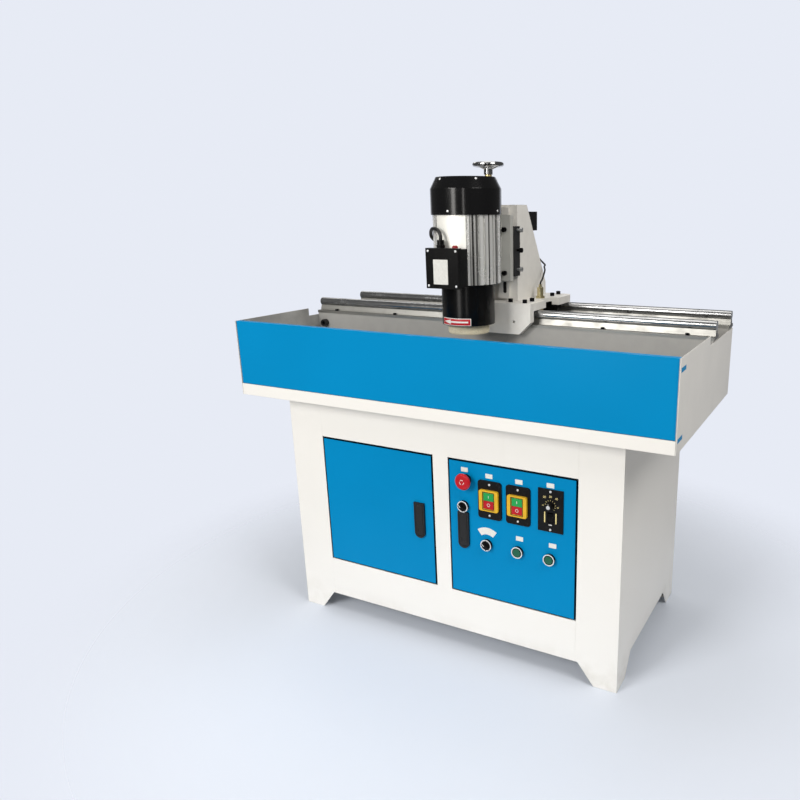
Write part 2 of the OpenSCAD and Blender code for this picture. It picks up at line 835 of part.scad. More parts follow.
// Rack on the inner face of the front beam, with its teeth down
rack_l_share = 0.95;
rack_teeth = 2 * floor(tray_l * rack_l_share / tooth_pitch / 2);
tooth_head = tooth_m * tooth_head_share;
tooth_foot = tooth_m * tooth_foot_share;
module tooth() {
    polygon([
        [-tooth_pitch * tooth_w_share / 2 - tooth_foot * tooth_tip_share, -tooth_foot - tooth_m / 10],
        [tooth_pitch * tooth_w_share / 2 + tooth_foot * tooth_tip_share, -tooth_foot - tooth_m / 10],
        [tooth_pitch * tooth_tip_share / 2, tooth_head], [-tooth_pitch * tooth_tip_share / 2, tooth_head]
    ]);
}
module drive_rack() {
    x = rack_teeth * tooth_pitch / 2 - abs(carriage_x);
    color("dimgray") slab_y(channel_y0, channel_y0 + rack_t) {
        translate([-x, pitch_z + tooth_foot]) square([2 * x, rack_z - pitch_z - tooth_foot]);
        for (i = [ceil((-x - carriage_x) / tooth_pitch + 1) : floor((x - carriage_x) / tooth_pitch - 1)])
            translate([carriage_x + (i + 0.5) * tooth_pitch, pitch_z]) rotate(180) tooth();
    }
}

// Pinion, its shaft end in the gearbox
pinion_shaft_r = 6;
pinion_shaft_l = 18;
module pinion() {
    color("darkgray") {
        translate([carriage_x, 0, pinion_z]) slab_y(pinion_y0, pinion_y0 + pinion_t) {
            circle(pinion_r - tooth_foot);
            for (i = [0 : pinion_teeth - 1])
                rotate(i * 360 / pinion_teeth) translate([0, pinion_r]) tooth();
        }
        rod_y([carriage_x, pinion_y0, pinion_z], pinion_shaft_r, pinion_t + pinion_shaft_l);
    }
}

// Stops that the travel sensor reads at each end
dog_l = 24;
dog_t = 10;
dog_foot = 4;
dog_reach = 50;
travel_left = 420;
travel_right = 430;
sensor_x_share = 0.488;
sensor_x = column_w / 2 + sensor_x_share * (carriage_l - column_w) / 2;
sensor_y_share = 0.344;
sensor_y = channel_y0 + sensor_y_share * (channel_y1 - channel_y0);
module trip_dogs() {
    y0 = front_rail_y + rail_base_w / 2 + rest_gap;
    color("dimgray") for (x = [carriage_x + sensor_x - travel_left, carriage_x + sensor_x + travel_right])
        difference() {
            span([x - dog_l / 2, y0, bed_top],
                [x + dog_l / 2, channel_y0 + dog_reach, bed_top + dog_foot + dog_t]);
            span([x - dog_l / 2 - cut, channel_y0, bed_top - cut],
                [x + dog_l / 2 + cut, channel_y0 + dog_reach + cut, bed_top + dog_foot]);
        }
}

// Coolant outlet in the back wall of the trough
nozzle_r = 11;
nozzle_bore_r = 6;
nozzle_l = 14;
nozzle_inset = 31;
nozzle_drop = 30;
module coolant_nozzle() {
    color("black") translate([nozzle_inset - tray_l / 2, bed_y - nozzle_l, bed_top - nozzle_drop])
        difference() {
            rod_y([0, 0, 0], nozzle_r, nozzle_l);
            rod_y([0, -cut, 0], nozzle_bore_r, nozzle_l);
        }
}

// Coolant tank behind the left door, with a ledge for the pump
tank_side_gap = 30;
tank_setback = 200;
tank_h = 190;
tank_wall = 3;
tank_ledge = 120;
pump_hole_r = 42;
tank_x0 = tank_side_gap - side_x;
tank_x1 = mullion_x - tank_side_gap;
tank_y0 = cabinet_y + tank_setback;
tank_y1 = back_y - tank_side_gap;
tank_top = floor_z + tank_h;
pump_x = tank_x0 + tank_ledge;
pump_y = tank_y1 - tank_ledge / 2;
module coolant_tank() {
    color("gainsboro") difference() {
        span([tank_x0, tank_y0, floor_z], [tank_x1, tank_y1, tank_top]);
        span([tank_x0 + tank_wall, tank_y0 + tank_wall, floor_z + tank_wall],
            [tank_x1 - tank_wall, tank_y1 - tank_wall, tank_top - tank_wall]);
        span([tank_x0 + tank_wall, tank_y0 + tank_wall, floor_z + tank_wall],
            [tank_x1 - tank_wall, tank_y1 - tank_ledge, tank_top + cut]);
        rod_z([pump_x, pump_y, tank_top - tank_wall - cut], pump_hole_r, tank_wall + 2 * cut);
    }
}

pump_flange_r = 54;
pump_flange_t = 8;
pump_motor_r = 44;
pump_motor_h = 96;
pump_stem_r = 30;
pump_stem_l = 120;
pump_cap_h = 10;
module coolant_pump() {
    color("steelblue") translate([pump_x, pump_y, tank_top]) {
        rod_z([0, 0, 0], pump_flange_r, pump_flange_t);
        rod_z([0, 0, 0], pump_motor_r, pump_flange_t + pump_motor_h);
        rod_z([0, 0, 0], pump_motor_r - pump_cap_h / 2, pump_flange_t + pump_motor_h + pump_cap_h);
        rod_z([0, 0, -pump_stem_l], pump_stem_r, pump_stem_l + cut);
    }
}

// Contactors, transformer and chuck rectifier on the back wall behind the right door
// Their places are shares of the width and height of the right compartment
contactor_size = [45, 75, 80];
transformer_size = [110, 90, 95];
rectifier_size = [64, 48, 64];
unit_sizes = [contactor_size, contactor_size, transformer_size, rectifier_size];
unit_x_shares = [0.2, 0.36, 0.64, 0.3];
unit_z_shares = [0.55, 0.55, 0.3, 0.2];
module electrics_units() {
    color("slategray") for (i = [0 : len(unit_sizes) - 1]) {
        u = unit_sizes[i];
        x = mullion_x + unit_x_shares[i] * (side_x - mullion_x);
        z = floor_z + unit_z_shares[i] * (cabinet_h - floor_z);
        span([x, back_y - sheet_t - u[1], z], [x + u[0], back_y - sheet_t, z + u[2]]);
    }
}

// Chuck and its tilt
lug_end_t = 12;
lug_end_w = 90;
lug_end_h = 44;
base_drop = 22;
base_w_share = 0.8;
module chuck_base() {
    w = chuck_w * base_w_share;
    color("gray") translate([0, axis_y, tilt_z]) {
        span([-chuck_l / 2 - cut, -w / 2, -base_drop], [chuck_l / 2 + cut, w / 2, 0]);
        both_sides() {
            span([chuck_l / 2, -lug_end_w / 2, -base_drop],
                [chuck_l / 2 + lug_end_t, lug_end_w / 2, lug_end_h - base_drop]);
            rod_x([chuck_l / 2, 0, 0], tilt_pin_d / 2, lug_end_t + bracket_t + 2 * bracket_gap);
        }
    }
}

pole_pitch = 25;
pole_gap = 3;
pole_depth = 1.5;
pole_margin = 16;
pole_count = floor((chuck_l - 2 * pole_margin) / pole_pitch);
module magnet_chuck() {
    color("silver") translate([0, axis_y, tilt_z]) difference() {
        span([-chuck_l / 2, -chuck_w / 2, 0], [chuck_l / 2, chuck_w / 2, chuck_h]);
        for (i = [0 : pole_count])
            translate([(i - pole_count / 2) * pole_pitch, 0, chuck_h - pole_depth])
                span([-pole_gap / 2, pole_margin - chuck_w / 2, 0],
                    [pole_gap / 2, chuck_w / 2 - pole_margin, pole_depth + cut]);
    }
}

bracket_top = 26;
bracket_top_w = 60;
module chuck_brackets() {
    x0 = chuck_l / 2 + lug_end_t + bracket_gap;
    color("gray") both_sides() difference() {
        translate([0, axis_y, 0]) slab_x(x0, x0 + bracket_t) polygon([
            [-bracket_w / 2, pan_top], [bracket_w / 2, pan_top], [bracket_top_w / 2, tilt_z + bracket_top],
            [-bracket_top_w / 2, tilt_z + bracket_top]
        ]);
        rod_x([x0 - cut, axis_y, tilt_z], tilt_pin_d / 2 + run_fit, bracket_t + 2 * cut);
    }
}

// Carriage
plate_off = 5.5;
plate_x = carriage_x + plate_off;
notch_front = 42;
notch_back = 31;
notch_d = 20;
rear_reach = 9;
rear_r = 24;
block_drop = 16;
slot_w = 24;
sensor_r = 9;
apron_hole_r = 4;
apron_hole_in = 50;
apron_hole_up = 34;
module carriage_outline() {
    x = carriage_l / 2;
    difference() {
        union() {
            translate([-x, apron_y0]) square([2 * x, sensor_y - apron_y0]);
            translate([-x - rear_reach, sensor_y])
                square([2 * (x + rear_reach), plate_y1 - rear_r - sensor_y]);
            translate([rear_r - x - rear_reach, sensor_y])
                square([2 * (x + rear_reach - rear_r), plate_y1 - sensor_y]);
            for (s = [-1, 1]) translate([s * (x + rear_reach - rear_r), plate_y1 - rear_r]) circle(rear_r);
        }
        for (s = [-1, 1])
            translate([s * (x + rear_reach), sensor_y + (notch_back - notch_front) / 2])
                square([2 * (notch_d + rear_reach), notch_back + notch_front], center = true);
    }
}

module carriage_plate() {
    x = carriage_l / 2;
    color("gainsboro") translate([plate_x, 0, 0]) difference() {
        union() {
            translate([0, 0, plate_z]) linear_extrude(plate_t) carriage_outline();
            // rims under both ends
            translate([0, 0, plate_z - rim_drop]) linear_extrude(rim_drop + cut) difference() {
                carriage_outline();
                square([2 * (x - rim_w), 2 * tray_d], center = true);
            }
            // apron with cut corners
            slab_y(apron_y0, apron_y1) polygon([
                [-x, plate_top], [-x, plate_top - apron_h + apron_cut], [apron_cut - x, plate_top - apron_h],
                [x - apron_cut, plate_top - apron_h], [x, plate_top - apron_h + apron_cut], [x, plate_top]
            ]);
        }
        rod_z([sensor_x - plate_off, sensor_y, plate_z - cut], sensor_r, plate_t + 2 * cut);
        for (s = [-1, 1])
            rod_y([s * (x - apron_hole_in), apron_y0 - cut, plate_top - apron_h + apron_hole_up],
                apron_hole_r, apron_d / 2);
    }
}

// Bearing blocks, open below for the rail supports
module bearing_block(x, y) {
    difference() {
        span([x - block_l / 2, y - block_w / 2, rail_z - block_drop],
            [x + block_l / 2, y + block_w / 2, plate_z]);
        rod_x([x - block_l / 2 - cut, y, rail_z], rail_d / 2 + run_fit, block_l + 2 * cut);
        span([x - block_l / 2 - cut, y - slot_w / 2, rail_z - block_drop - cut],
            [x + block_l / 2 + cut, y + slot_w / 2, rail_z]);
    }
}
module bearing_blocks() {
    color("silver") for (s = [-1, 1], y = [front_rail_y, rear_rail_y])
        bearing_block(plate_x + s * block_x_share * carriage_l, y);
}

// Column: a casting, open at the back, with two dovetail ways in front and the screw bearing on top
column_wall = 14;
column_front_t = 26;
column_foot_h = 36;
pocket_top_drop = 84;
module column_profile() {
    polygon([
        [column_y, plate_top], [column_y, column_top], [column_y + column_top_d, column_top],
        [column_y + column_base_d, plate_top + column_foot_h], [column_y + column_base_d, plate_top]
    ]);
}
module way_outline(g) {
    for (s = [-1, 1]) scale([s, 1]) polygon([
        [way_x - way_flare - g, column_y + cut], [way_x - way_flare - g, column_y - way_d - g],
        [way_x + way_w + 2 * g, column_y - way_d - g], [way_x + way_w - way_flare + 2 * g, column_y + cut]
    ]);
}
slot_x = 46;
slot_cut_w = 11;
slot_rise = 27;
slot_cut_h = 26;
module column() {
    x = column_w / 2;
    color("gainsboro") translate([carriage_x, 0, 0]) difference() {
        union() {
            slab_x(-x, x) column_profile();
            translate([0, 0, way_z0]) linear_extrude(way_z1 - way_z0) way_outline(0);
            span([-bridge_w / 2, column_y, column_top - cut],
                [bridge_w / 2, column_y + bridge_back, column_top + bridge_t]);
            span([-bridge_w / 2, feed_y - boss_r, column_top],
                [bridge_w / 2, column_y + cut, column_top + bridge_t]);
            rod_z([0, feed_y, column_top], boss_r, boss_top - column_top);
        }
        span([column_wall - x, column_y + column_front_t, plate_top + column_wall],
            [x - column_wall, column_y + column_base_d + cut, column_top - pocket_top_drop]);
        rod_z([0, feed_y, column_top - cut], feed_d / 2 + run_fit, boss_top - column_top + 2 * cut);
        // slots below the head
        for (s = [-1, 1]) {
            span([s * slot_x - slot_cut_w / 2, column_y - way_d - cut, plate_top + slot_rise],
                [s * slot_x + slot_cut_w / 2, column_y + column_front_t + cut,
                    plate_top + slot_rise + slot_cut_h]);
            rod_y([s * slot_x, column_y - way_d - cut, plate_top + slot_rise],
                slot_cut_w / 2, way_d + column_front_t + 2 * cut);
        }
    }
}

// Travel sensor through the plate, with its nut
sensor_read_gap = 5;
sensor_tip = bed_top + dog_foot + dog_t + sensor_read_gap;
sensor_up = 39;
sensor_body_up = 31;
sensor_gland_r = 4.5;
nut_r = 13.8;
nut_h = 6;
module sensor() {
    color("goldenrod") translate([carriage_x + sensor_x, sensor_y, 0]) {
        rod_z([0, 0, sensor_tip], sensor_r, plate_top + sensor_body_up - sensor_tip);
        rod_z([0, 0, plate_top], sensor_gland_r, sensor_up);
        translate([0, 0, plate_top]) cylinder(r = nut_r, h = nut_h, $fn = 6);
        translate([0, 0, plate_z - nut_h]) cylinder(r = nut_r, h = nut_h, $fn = 6);
    }
}

// Tube along a route: rings of sides points about each point of p
function unit(v) = v / norm(v);
function heading(p, i) = unit(p[min(i + 1, len(p) - 1)] - p[max(i - 1, 0)]);
module tube(p, r, sides, ref) {
    rings = [for (i = [0 : len(p) - 1])
        let (t = heading(p, i), u = unit(cross(ref, t)), v = cross(t, u))
        for (k = [0 : sides - 1]) p[i] + r * (cos(k * 360 / sides) * u + sin(k * 360 / sides) * v)];
    n = len(p);
    faces = concat(
        [[for (k = [0 : sides - 1]) sides - 1 - k]],
        [[for (k = [0 : sides - 1]) (n - 1) * sides + k]],
        [for (i = [0 : n - 2], k = [0 : sides - 1])
            [i * sides + k, i * sides + (k + 1) % sides, (i + 1) * sides + (k + 1) % sides]],
        [for (i = [0 : n - 2], k = [0 : sides - 1])
            [i * sides + k, (i + 1) * sides + (k + 1) % sides, (i + 1) * sides + k]]
    );
    polyhedron(rings, [for (f = faces) [for (k = [len(f) - 1 : -1 : 0]) f[k]]]);
}

// Route of the sensor cable, from the top of the sensor to the junction box behind the column
sensor_cable_r = 2.5;
cable_sides = 8;
cable_side_shares = [1, 0.4, 0];
sensor_cable_route = [
    [0, 0, 0], [0, 2, 5], [0, 11, 11], [-1, 21, 19], [-4, 34, 26.5], [-7, 45, 32], [-11, 56, 37],
    [-17, 66, 42], [-22, 76, 44.5], [-26, 90.5, 48], [-33, 97, 52], [-42, 97, 60], [-49, 90, 71],
    [-53, 79, 86], [-54, 68, 101], [-55, 57, 118], [-55, 46, 133], [-55, 37, 142], [-55, 34, 149]
];
module sensor_cable() {
    start = [carriage_x + sensor_x, sensor_y, plate_top + sensor_up];
    color("black") tube([for (q = sensor_cable_route) start + q],
        sensor_cable_r, cable_sides, cable_side_shares);
}

box_in = 78;
box_w = 48;
box_h = 52;
box_rise = 149;
box_depth = 64;
box_front = 22;
module junction_box() {
    z0 = plate_top + sensor_up + box_rise;
    y0 = sensor_y - box_front;
    x0 = carriage_x + sensor_x - box_in;
    color("black") difference() {
        span([x0, y0, z0], [x0 + box_w, y0 + box_depth, z0 + box_h]);
        slab_x(carriage_x - column_w, carriage_x + column_w) column_profile();
    }
}

// Travel motor and gearbox hung under the plate
module travel_motor() {
    x = carriage_x;
    gearbox_y1 = travel_motor_y0 + gearbox_d;
    color("dimgray") {
        difference() {
            span([x - gearbox_s / 2, travel_motor_y0, pinion_z - gearbox_s / 2],
                [x + gearbox_s / 2, gearbox_y1, pinion_z + gearbox_s / 2]);
            rod_y([x, travel_motor_y0 - cut, pinion_z], pinion_shaft_r + run_fit, pinion_shaft_l + cut);
        }
        rod_y([x, gearbox_y1 - cut, pinion_z], travel_motor_d / 2, travel_motor_y1 - gearbox_y1 + cut);
        span([x - hanger_w / 2, gearbox_y1 + hanger_t, pinion_z],
            [x + hanger_w / 2, travel_motor_y1 - hanger_t, plate_z]);
    }
}

// Head
module motor_plate() {
    x = motor_plate_w / 2;
    color("lightgray") span([carriage_x - x, motor_plate_y0, motor_plate_z],
        [carriage_x + x, slide_y0, motor_plate_top]);
}

nut_room_y = 8;
feed_nut_h = 40;
inlet_w = 18;
inlet_h = 30;
inlet_z = 84;
module head_slide() {
    x = slide_w / 2;
    color("black") translate([carriage_x, 0, 0]) {
        difference() {
            span([-x, slide_y0, slide_z], [x, slide_y1, slide_z + slide_h]);
            translate([0, 0, slide_z - cut]) linear_extrude(slide_h + 2 * cut) way_outline(slide_gap);
            span([-screw_room, slide_y0 + nut_room_y, slide_z - cut],
                [screw_room, slide_y1 + cut, slide_z + slide_h + cut]);
        }
        // feed nut
        difference() {
            span([-screw_room - cut, slide_y0 + nut_room_y - cut, slide_z + slide_h / 2 - feed_nut_h / 2],
                [screw_room + cut, slide_y1 - slide_gap, slide_z + slide_h / 2 + feed_nut_h / 2]);
            rod_z([0, feed_y, slide_z], feed_d / 2 + run_fit, slide_h);
        }
        // inlet of the motor lead
        span([-x - inlet_w, slide_y0 + cut, body_z + inlet_z],
            [cut - x, slide_y1 - cut, body_z + inlet_z + inlet_h]);
    }
}

// Finned motor body with its foot, and a plain pad in front that carries the terminal box
groove_count = 36;
groove_w = 4;
groove_d = 7;
rotor_r = 42;
rotor_gap = 1;
end_wall = 24;
pad_angle = 60;
pad_turn = 270;
foot_angle = 90;
foot_turn = 90;
foot_half_w = 55;
foot_start_share = 0.6;
foot_end_in = 18;
module motor_body() {
    r = motor_d / 2;
    color("silver") translate([carriage_x, axis_y, 0]) difference() {
        union() {
            difference() {
                rod_z([0, 0, body_z], r - rest_gap, motor_l);
                for (i = [0 : groove_count - 1]) {
                    turn = i * 360 / groove_count;
                    if (abs(turn - pad_turn) >= pad_angle / 2 && abs(turn - foot_turn) >= foot_angle / 2)
                        rotate([0, 0, turn])
                            span([r - groove_d, -groove_w / 2, body_z - cut],
                                [r + cut, groove_w / 2, cover_z + cut]);
                }
            }
            span([-foot_half_w, r * foot_start_share, body_z + foot_end_in],
                [foot_half_w, motor_foot_h, cover_z - foot_end_in]);
        }
        rod_z([0, 0, body_z - cut], spindle_d / 2 + run_fit, motor_l + 2 * cut);
        rod_z([0, 0, body_z + end_wall], rotor_r + rotor_gap, motor_l - 2 * end_wall);
    }
}

// Fan cover: a domed shell with air slots in its top
cover_wall = 2.5;
cover_lip = 6;
cover_lip_h = 4;
cover_slope_h = 29;
cover_slope_run = 15;
slot_ring_r = 40;
slot_l = 34;
slot_t = 6;
slot_count = 12;
module cover_outline(w) {
    r = fan_cover_d / 2 - w;
    polygon([
        [0, 0], [r, 0], [r, fan_cover_h - cover_slope_h - w / 2], [r - cover_slope_run, fan_cover_h - w],
        [0, fan_cover_h - w]
    ]);
}
module fan_cover() {
    color("black") translate([carriage_x, axis_y, cover_z]) {
        difference() {
            rotate_extrude() cover_outline(0);
            translate([0, 0, -cut]) rotate_extrude() cover_outline(cover_wall);
            for (i = [0 : slot_count - 1])
                rotate([0, 0, i * 360 / slot_count])
                    span([slot_ring_r - slot_l / 2, -slot_t / 2, fan_cover_h - 2 * cover_wall],
                        [slot_ring_r + slot_l / 2, slot_t / 2, fan_cover_h + cut]);
        }
        // lip that sits on the motor body
        rotate_extrude() translate([fan_cover_d / 2 - cover_lip, 0])
            square([cover_lip - cover_wall / 2, cover_lip_h]);
    }
}

guard_wall = 5;
guard_roof = 14;
module wheel_guard() {
    color("black") translate([carriage_x, axis_y, guard_z]) difference() {
        rod_z([0, 0, 0], guard_d / 2, guard_h);
        rod_z([0, 0, -cut], guard_d / 2 - guard_wall, guard_h - guard_roof + cut);
        rod_z([0, 0, 0], spindle_d / 2 + run_fit, guard_h + cut);
    }
}

// Terminal box with its lid, and the gland of the motor lead
terminal_w = 94;
terminal_h = 99;
terminal_reach = 126;
terminal_lid_t = 17;
terminal_step = 3;
terminal_drop = 5;
gland_x = -15;
gland_in = 22;
gland_r = 9;
gland_nut_r = 12;
gland_nut_h = 10;
gland_h = 22;
module terminal_box() {
    x = terminal_w / 2;
    z0 = body_z - terminal_drop;
    color("black") translate([carriage_x, axis_y, 0]) {
        difference() {
            union() {
                span([-x, -terminal_reach, z0], [x, terminal_lid_t - terminal_reach, z0 + terminal_h]);
                span([terminal_step - x, -terminal_reach, z0 + terminal_step],
                    [x - terminal_step, 0, z0 + terminal_h - terminal_step]);
            }
            rod_z([0, 0, z0 - cut], motor_d / 2, terminal_h + 2 * cut);
            rod_z([0, 0, z0 - cut], guard_d / 2 + cut, terminal_h);
        }
        translate([gland_x, gland_in - terminal_reach, z0 + terminal_h - terminal_step - cut]) {
            cylinder(r = gland_nut_r, h = gland_nut_h + cut, $fn = 6);
            cylinder(r = gland_r, h = gland_h + cut);
        }
    }
}

// Route of the motor lead, from its gland round the left of the motor to the slide
lead_r = 4.5;
lead_sides = 10;
lead_side_shares = [1, 1, 0];
lead_route = [
    [-15, -104, 113], [-15, -104, 121], [-18, -103, 130], [-26, -100, 137], [-38, -94, 140], [-51, -84, 139],
    [-64, -70, 134], [-75, -55, 127], [-84, -39, 119], [-90, -21, 112], [-92.5, 0, 106], [-92, 22, 102],
    [-91, 46, 100], [-91, 72, 99], [-91, 90, 99], [-91, 106, 99]
];
module motor_lead() {
    start = [carriage_x, axis_y, body_z];
    color("black") tube([for (q = lead_route) start + q], lead_r, lead_sides, lead_side_shares);
}

// Spindle: shaft, rotor, cooling fan and wheel flange
fan_r = 66;
fan_z = 20;
fan_t = 4;
fan_blades = 8;
fan_blade_h = 22;
flange_r = 28;
flange_t = 8;
wheel_h = 46;
wheel_wall = 20;
wheel_back = 14;
shaft_top_in = 46;
module spindle() {
    r = spindle_d / 2;
    seat_z = wheel_z + wheel_h;
    color("silver") translate([carriage_x, axis_y, 0]) {
        nut_z = seat_z - wheel_back - flange_t;
        rod_z([0, 0, nut_z], r, cover_top - shaft_top_in - nut_z);
        rod_z([0, 0, body_z + end_wall + rotor_gap], rotor_r, motor_l - 2 * end_wall - 2 * rotor_gap);
        rod_z([0, 0, seat_z], flange_r, flange_t);
        rod_z([0, 0, nut_z], flange_r, flange_t);
        rod_z([0, 0, cover_z + fan_z], fan_r, fan_t);
        for (i = [0 : fan_blades - 1])
            rotate([0, 0, i * 360 / fan_blades])
                span([r / 2, -fan_t / 2, cover_z + fan_z],
                    [fan_r - fan_t, fan_t / 2, cover_z + fan_z + fan_blade_h]);
    }
}

wheel_lip = 4;
module cup_wheel() {
    r = wheel_d / 2;
    color("linen") translate([carriage_x, axis_y, wheel_z]) rotate_extrude() polygon([
        [spindle_d / 2, wheel_h - wheel_back], [r - wheel_wall, wheel_h - wheel_back], [r - wheel_wall, 0],
        [r - wheel_lip / 2, 0], [r, wheel_lip], [r, wheel_h - wheel_lip], [r - wheel_lip, wheel_h],
        [spindle_d / 2, wheel_h]
    ]);
}

// Handwheel on the feed screw
rim_r = 6;
hub_r = 12;
hub_h = 16;
spoke_count = 3;
spoke_r = 4;
rim_rise = 32;
module handwheel() {
    rc = handwheel_d / 2 - rim_r;
    z0 = boss_top + collar_t + slide_gap;
    rim_z = boss_top + collar_t + rim_rise - rim_r;
    color("silver") translate([carriage_x, feed_y, 0]) {
        difference() {
            union() {
                rod_z([0, 0, z0], hub_r, hub_h);
                for (i = [0 : spoke_count - 1])
                    rotate([0, 0, i * 360 / spoke_count]) translate([0, 0, z0 + hub_h - spoke_r])
                        rotate([0, 90 - atan2(rim_z - z0 - hub_h + spoke_r, rc), 0])
                            cylinder(r = spoke_r, h = norm([rc, rim_z - z0 - hub_h + spoke_r]));
                translate([0, 0, rim_z]) rotate_extrude() translate([rc, 0]) circle(rim_r);
            }
            rod_z([0, 0, z0 - cut], feed_d / 4, hub_h + 2 * cut);
        }
    }
}

screw_end_in = 30;
module feed_screw() {
    color("tan") translate([carriage_x, feed_y, 0]) {
        rod_z([0, 0, way_z0 + screw_end_in], feed_d / 2, boss_top - way_z0 - screw_end_in);
        rod_z([0, 0, boss_top + slide_gap], collar_r, collar_t);
        rod_z([0, 0, boss_top - cut], feed_d / 4, collar_t + hub_h + cut + slide_gap);
    }
}

cabinet_sides();
front_rails();
back_panel();
cabinet_floor();
partition();
tray_pan();
tray_front_plate();
tray_ends();
bed();
rail_supports();
rail_shafts();
drive_rack();
trip_dogs();
coolant_nozzle();
coolant_tank();
coolant_pump();
electrics_units();
chuck_brackets();
door_hinges();
left_door();
left_latch_case();
left_latch_lever();
right_door();
right_latch_case();
right_latch_lever();
control_collars();
control_plates();
switch_frames();
estop_button();
selector_power();
selector_coolant();
jog_button_left();
jog_button_right();
wheel_start();
wheel_stop();
travel_start();
travel_stop();
speed_knob();
direction_toggle();
carriage_plate();
bearing_blocks();
column();
sensor();
sensor_cable();
junction_box();
travel_motor();
pinion();
motor_plate();
head_slide();
motor_body();
fan_cover();
wheel_guard();
terminal_box();
motor_lead();
spindle();
cup_wheel();
handwheel();
feed_screw();
chuck_base();
magnet_chuck();
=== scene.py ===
"""Finishes, fasteners, signs and studio for a planer knife grinder.

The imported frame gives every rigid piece. This add-on paints those pieces, models the small fittings that
sit on them, and sets up a plain studio with a camera.
"""

import json
import math

import bpy
from bpy.props import FloatProperty, FloatVectorProperty, IntProperty, PointerProperty
from mathutils import Matrix, Vector


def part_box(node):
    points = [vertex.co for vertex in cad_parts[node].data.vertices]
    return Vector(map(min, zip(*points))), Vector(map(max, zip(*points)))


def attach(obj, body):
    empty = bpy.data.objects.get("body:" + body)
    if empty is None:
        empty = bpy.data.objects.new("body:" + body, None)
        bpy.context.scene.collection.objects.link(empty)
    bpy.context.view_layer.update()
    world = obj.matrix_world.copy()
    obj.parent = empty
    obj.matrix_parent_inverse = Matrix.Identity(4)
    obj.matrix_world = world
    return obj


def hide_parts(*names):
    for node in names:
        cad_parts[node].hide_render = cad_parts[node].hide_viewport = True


bl_info = {
    "name": "Planer Knife Grinder",
    "version": (1, 0, 0),
    "blender": (4, 5, 0),
    "location": "View3D > Sidebar > Grinder",
    "description": "Finishes, fasteners, signs and studio for a planer knife grinder",
    "category": "Object",
}

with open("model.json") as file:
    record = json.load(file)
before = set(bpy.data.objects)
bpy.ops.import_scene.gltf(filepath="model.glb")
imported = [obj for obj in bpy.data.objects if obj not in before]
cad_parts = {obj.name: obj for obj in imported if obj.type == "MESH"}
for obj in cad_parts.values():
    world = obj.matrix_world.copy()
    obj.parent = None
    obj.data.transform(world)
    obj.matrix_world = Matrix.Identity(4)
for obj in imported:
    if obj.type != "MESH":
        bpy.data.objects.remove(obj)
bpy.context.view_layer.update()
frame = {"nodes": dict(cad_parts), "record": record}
NODES = frame["nodes"]
MM = 0.001
FRONT = (0.0, -1.0, 0.0)
RIGHT = (1.0, 0.0, 0.0)
TOP = (0.0, 0.0, 1.0)
FINISHES = {}


def colour(name, description, default):
    """A colour property, written as it shows on a screen."""
    return FloatVectorProperty(
        name=name, description=description, default=default, subtype="COLOR_GAMMA", size=3, min=0.0, max=1.0
    )


def length(name, description, default):
    """A length property in metres."""
    return FloatProperty(name=name, description=description, default=default, unit="LENGTH", precision=4)


def power(name, default):
    """The power of a lamp, in watts."""
    return FloatProperty(name=name, description="Power of the " + name.lower(), default=default, unit="POWER")


class GrinderColours(bpy.types.PropertyGroup):
    """Colours of the finishes"""

    blue: colour("Blue", "Paint of the doors and the tray front", (0.0, 0.515, 0.735))
    warm_white: colour("Warm white", "Paint of the cabinet", (0.93, 0.923, 0.905))
    pale_grey: colour("Pale grey", "Paint of the bed, the carriage and the column", (0.89, 0.882, 0.862))
    tray_white: colour("Tray white", "Paint of the tray ends", (0.90, 0.893, 0.875))
    black: colour("Black", "Enamel of the motor covers", (0.035, 0.035, 0.04))
    plastic_black: colour("Plastic black", "Moulded black parts", (0.06, 0.06, 0.065))
    slide_black: colour("Slide black", "Paint of the head slide", (0.12, 0.12, 0.125))
    device_grey: colour("Device grey", "Electrical units in the cabinet", (0.42, 0.43, 0.45))
    motor_grey: colour("Motor grey", "Paint of the travel motor", (0.36, 0.36, 0.37))
    chuck_iron: colour("Chuck iron", "Paint of the chuck base", (0.55, 0.55, 0.55))
    plate_grey: colour("Plate grey", "Paint of the motor plate", (0.70, 0.70, 0.68))
    aluminium: colour("Aluminium", "Polished motor body", (0.93, 0.925, 0.90))
    steel: colour("Steel", "Ground shafts and chuck", (0.76, 0.765, 0.77))
    dark_steel: colour("Dark steel", "Rack, gears and hidden castings", (0.33, 0.33, 0.34))
    brass: colour("Brass", "Travel sensor", (0.84, 0.79, 0.62))
    screw_brass: colour("Screw brass", "Feed screw and chuck dividers", (0.86, 0.78, 0.56))
    cream: colour("Cream", "Abrasive of the cup wheel", (0.88, 0.84, 0.73))
    yellow: colour("Yellow", "Frames of the switches", (0.87, 0.68, 0.12))
    red: colour("Red", "Stop keys and the mushroom button", (0.72, 0.04, 0.11))
    green: colour("Green", "Start keys", (0.10, 0.62, 0.30))
    jog_green: colour("Jog green", "Round jog buttons", (0.02, 0.35, 0.25))
    sign_white: colour("Sign white", "Bare tags and marks", (0.90, 0.90, 0.88))
    gold: colour("Gold", "Dial marks", (0.93, 0.86, 0.58))
    floor: colour("Floor", "Studio floor", (0.842, 0.868, 0.912))
    backdrop: colour("Backdrop", "Even backdrop behind the machine", (0.906, 0.922, 0.961))


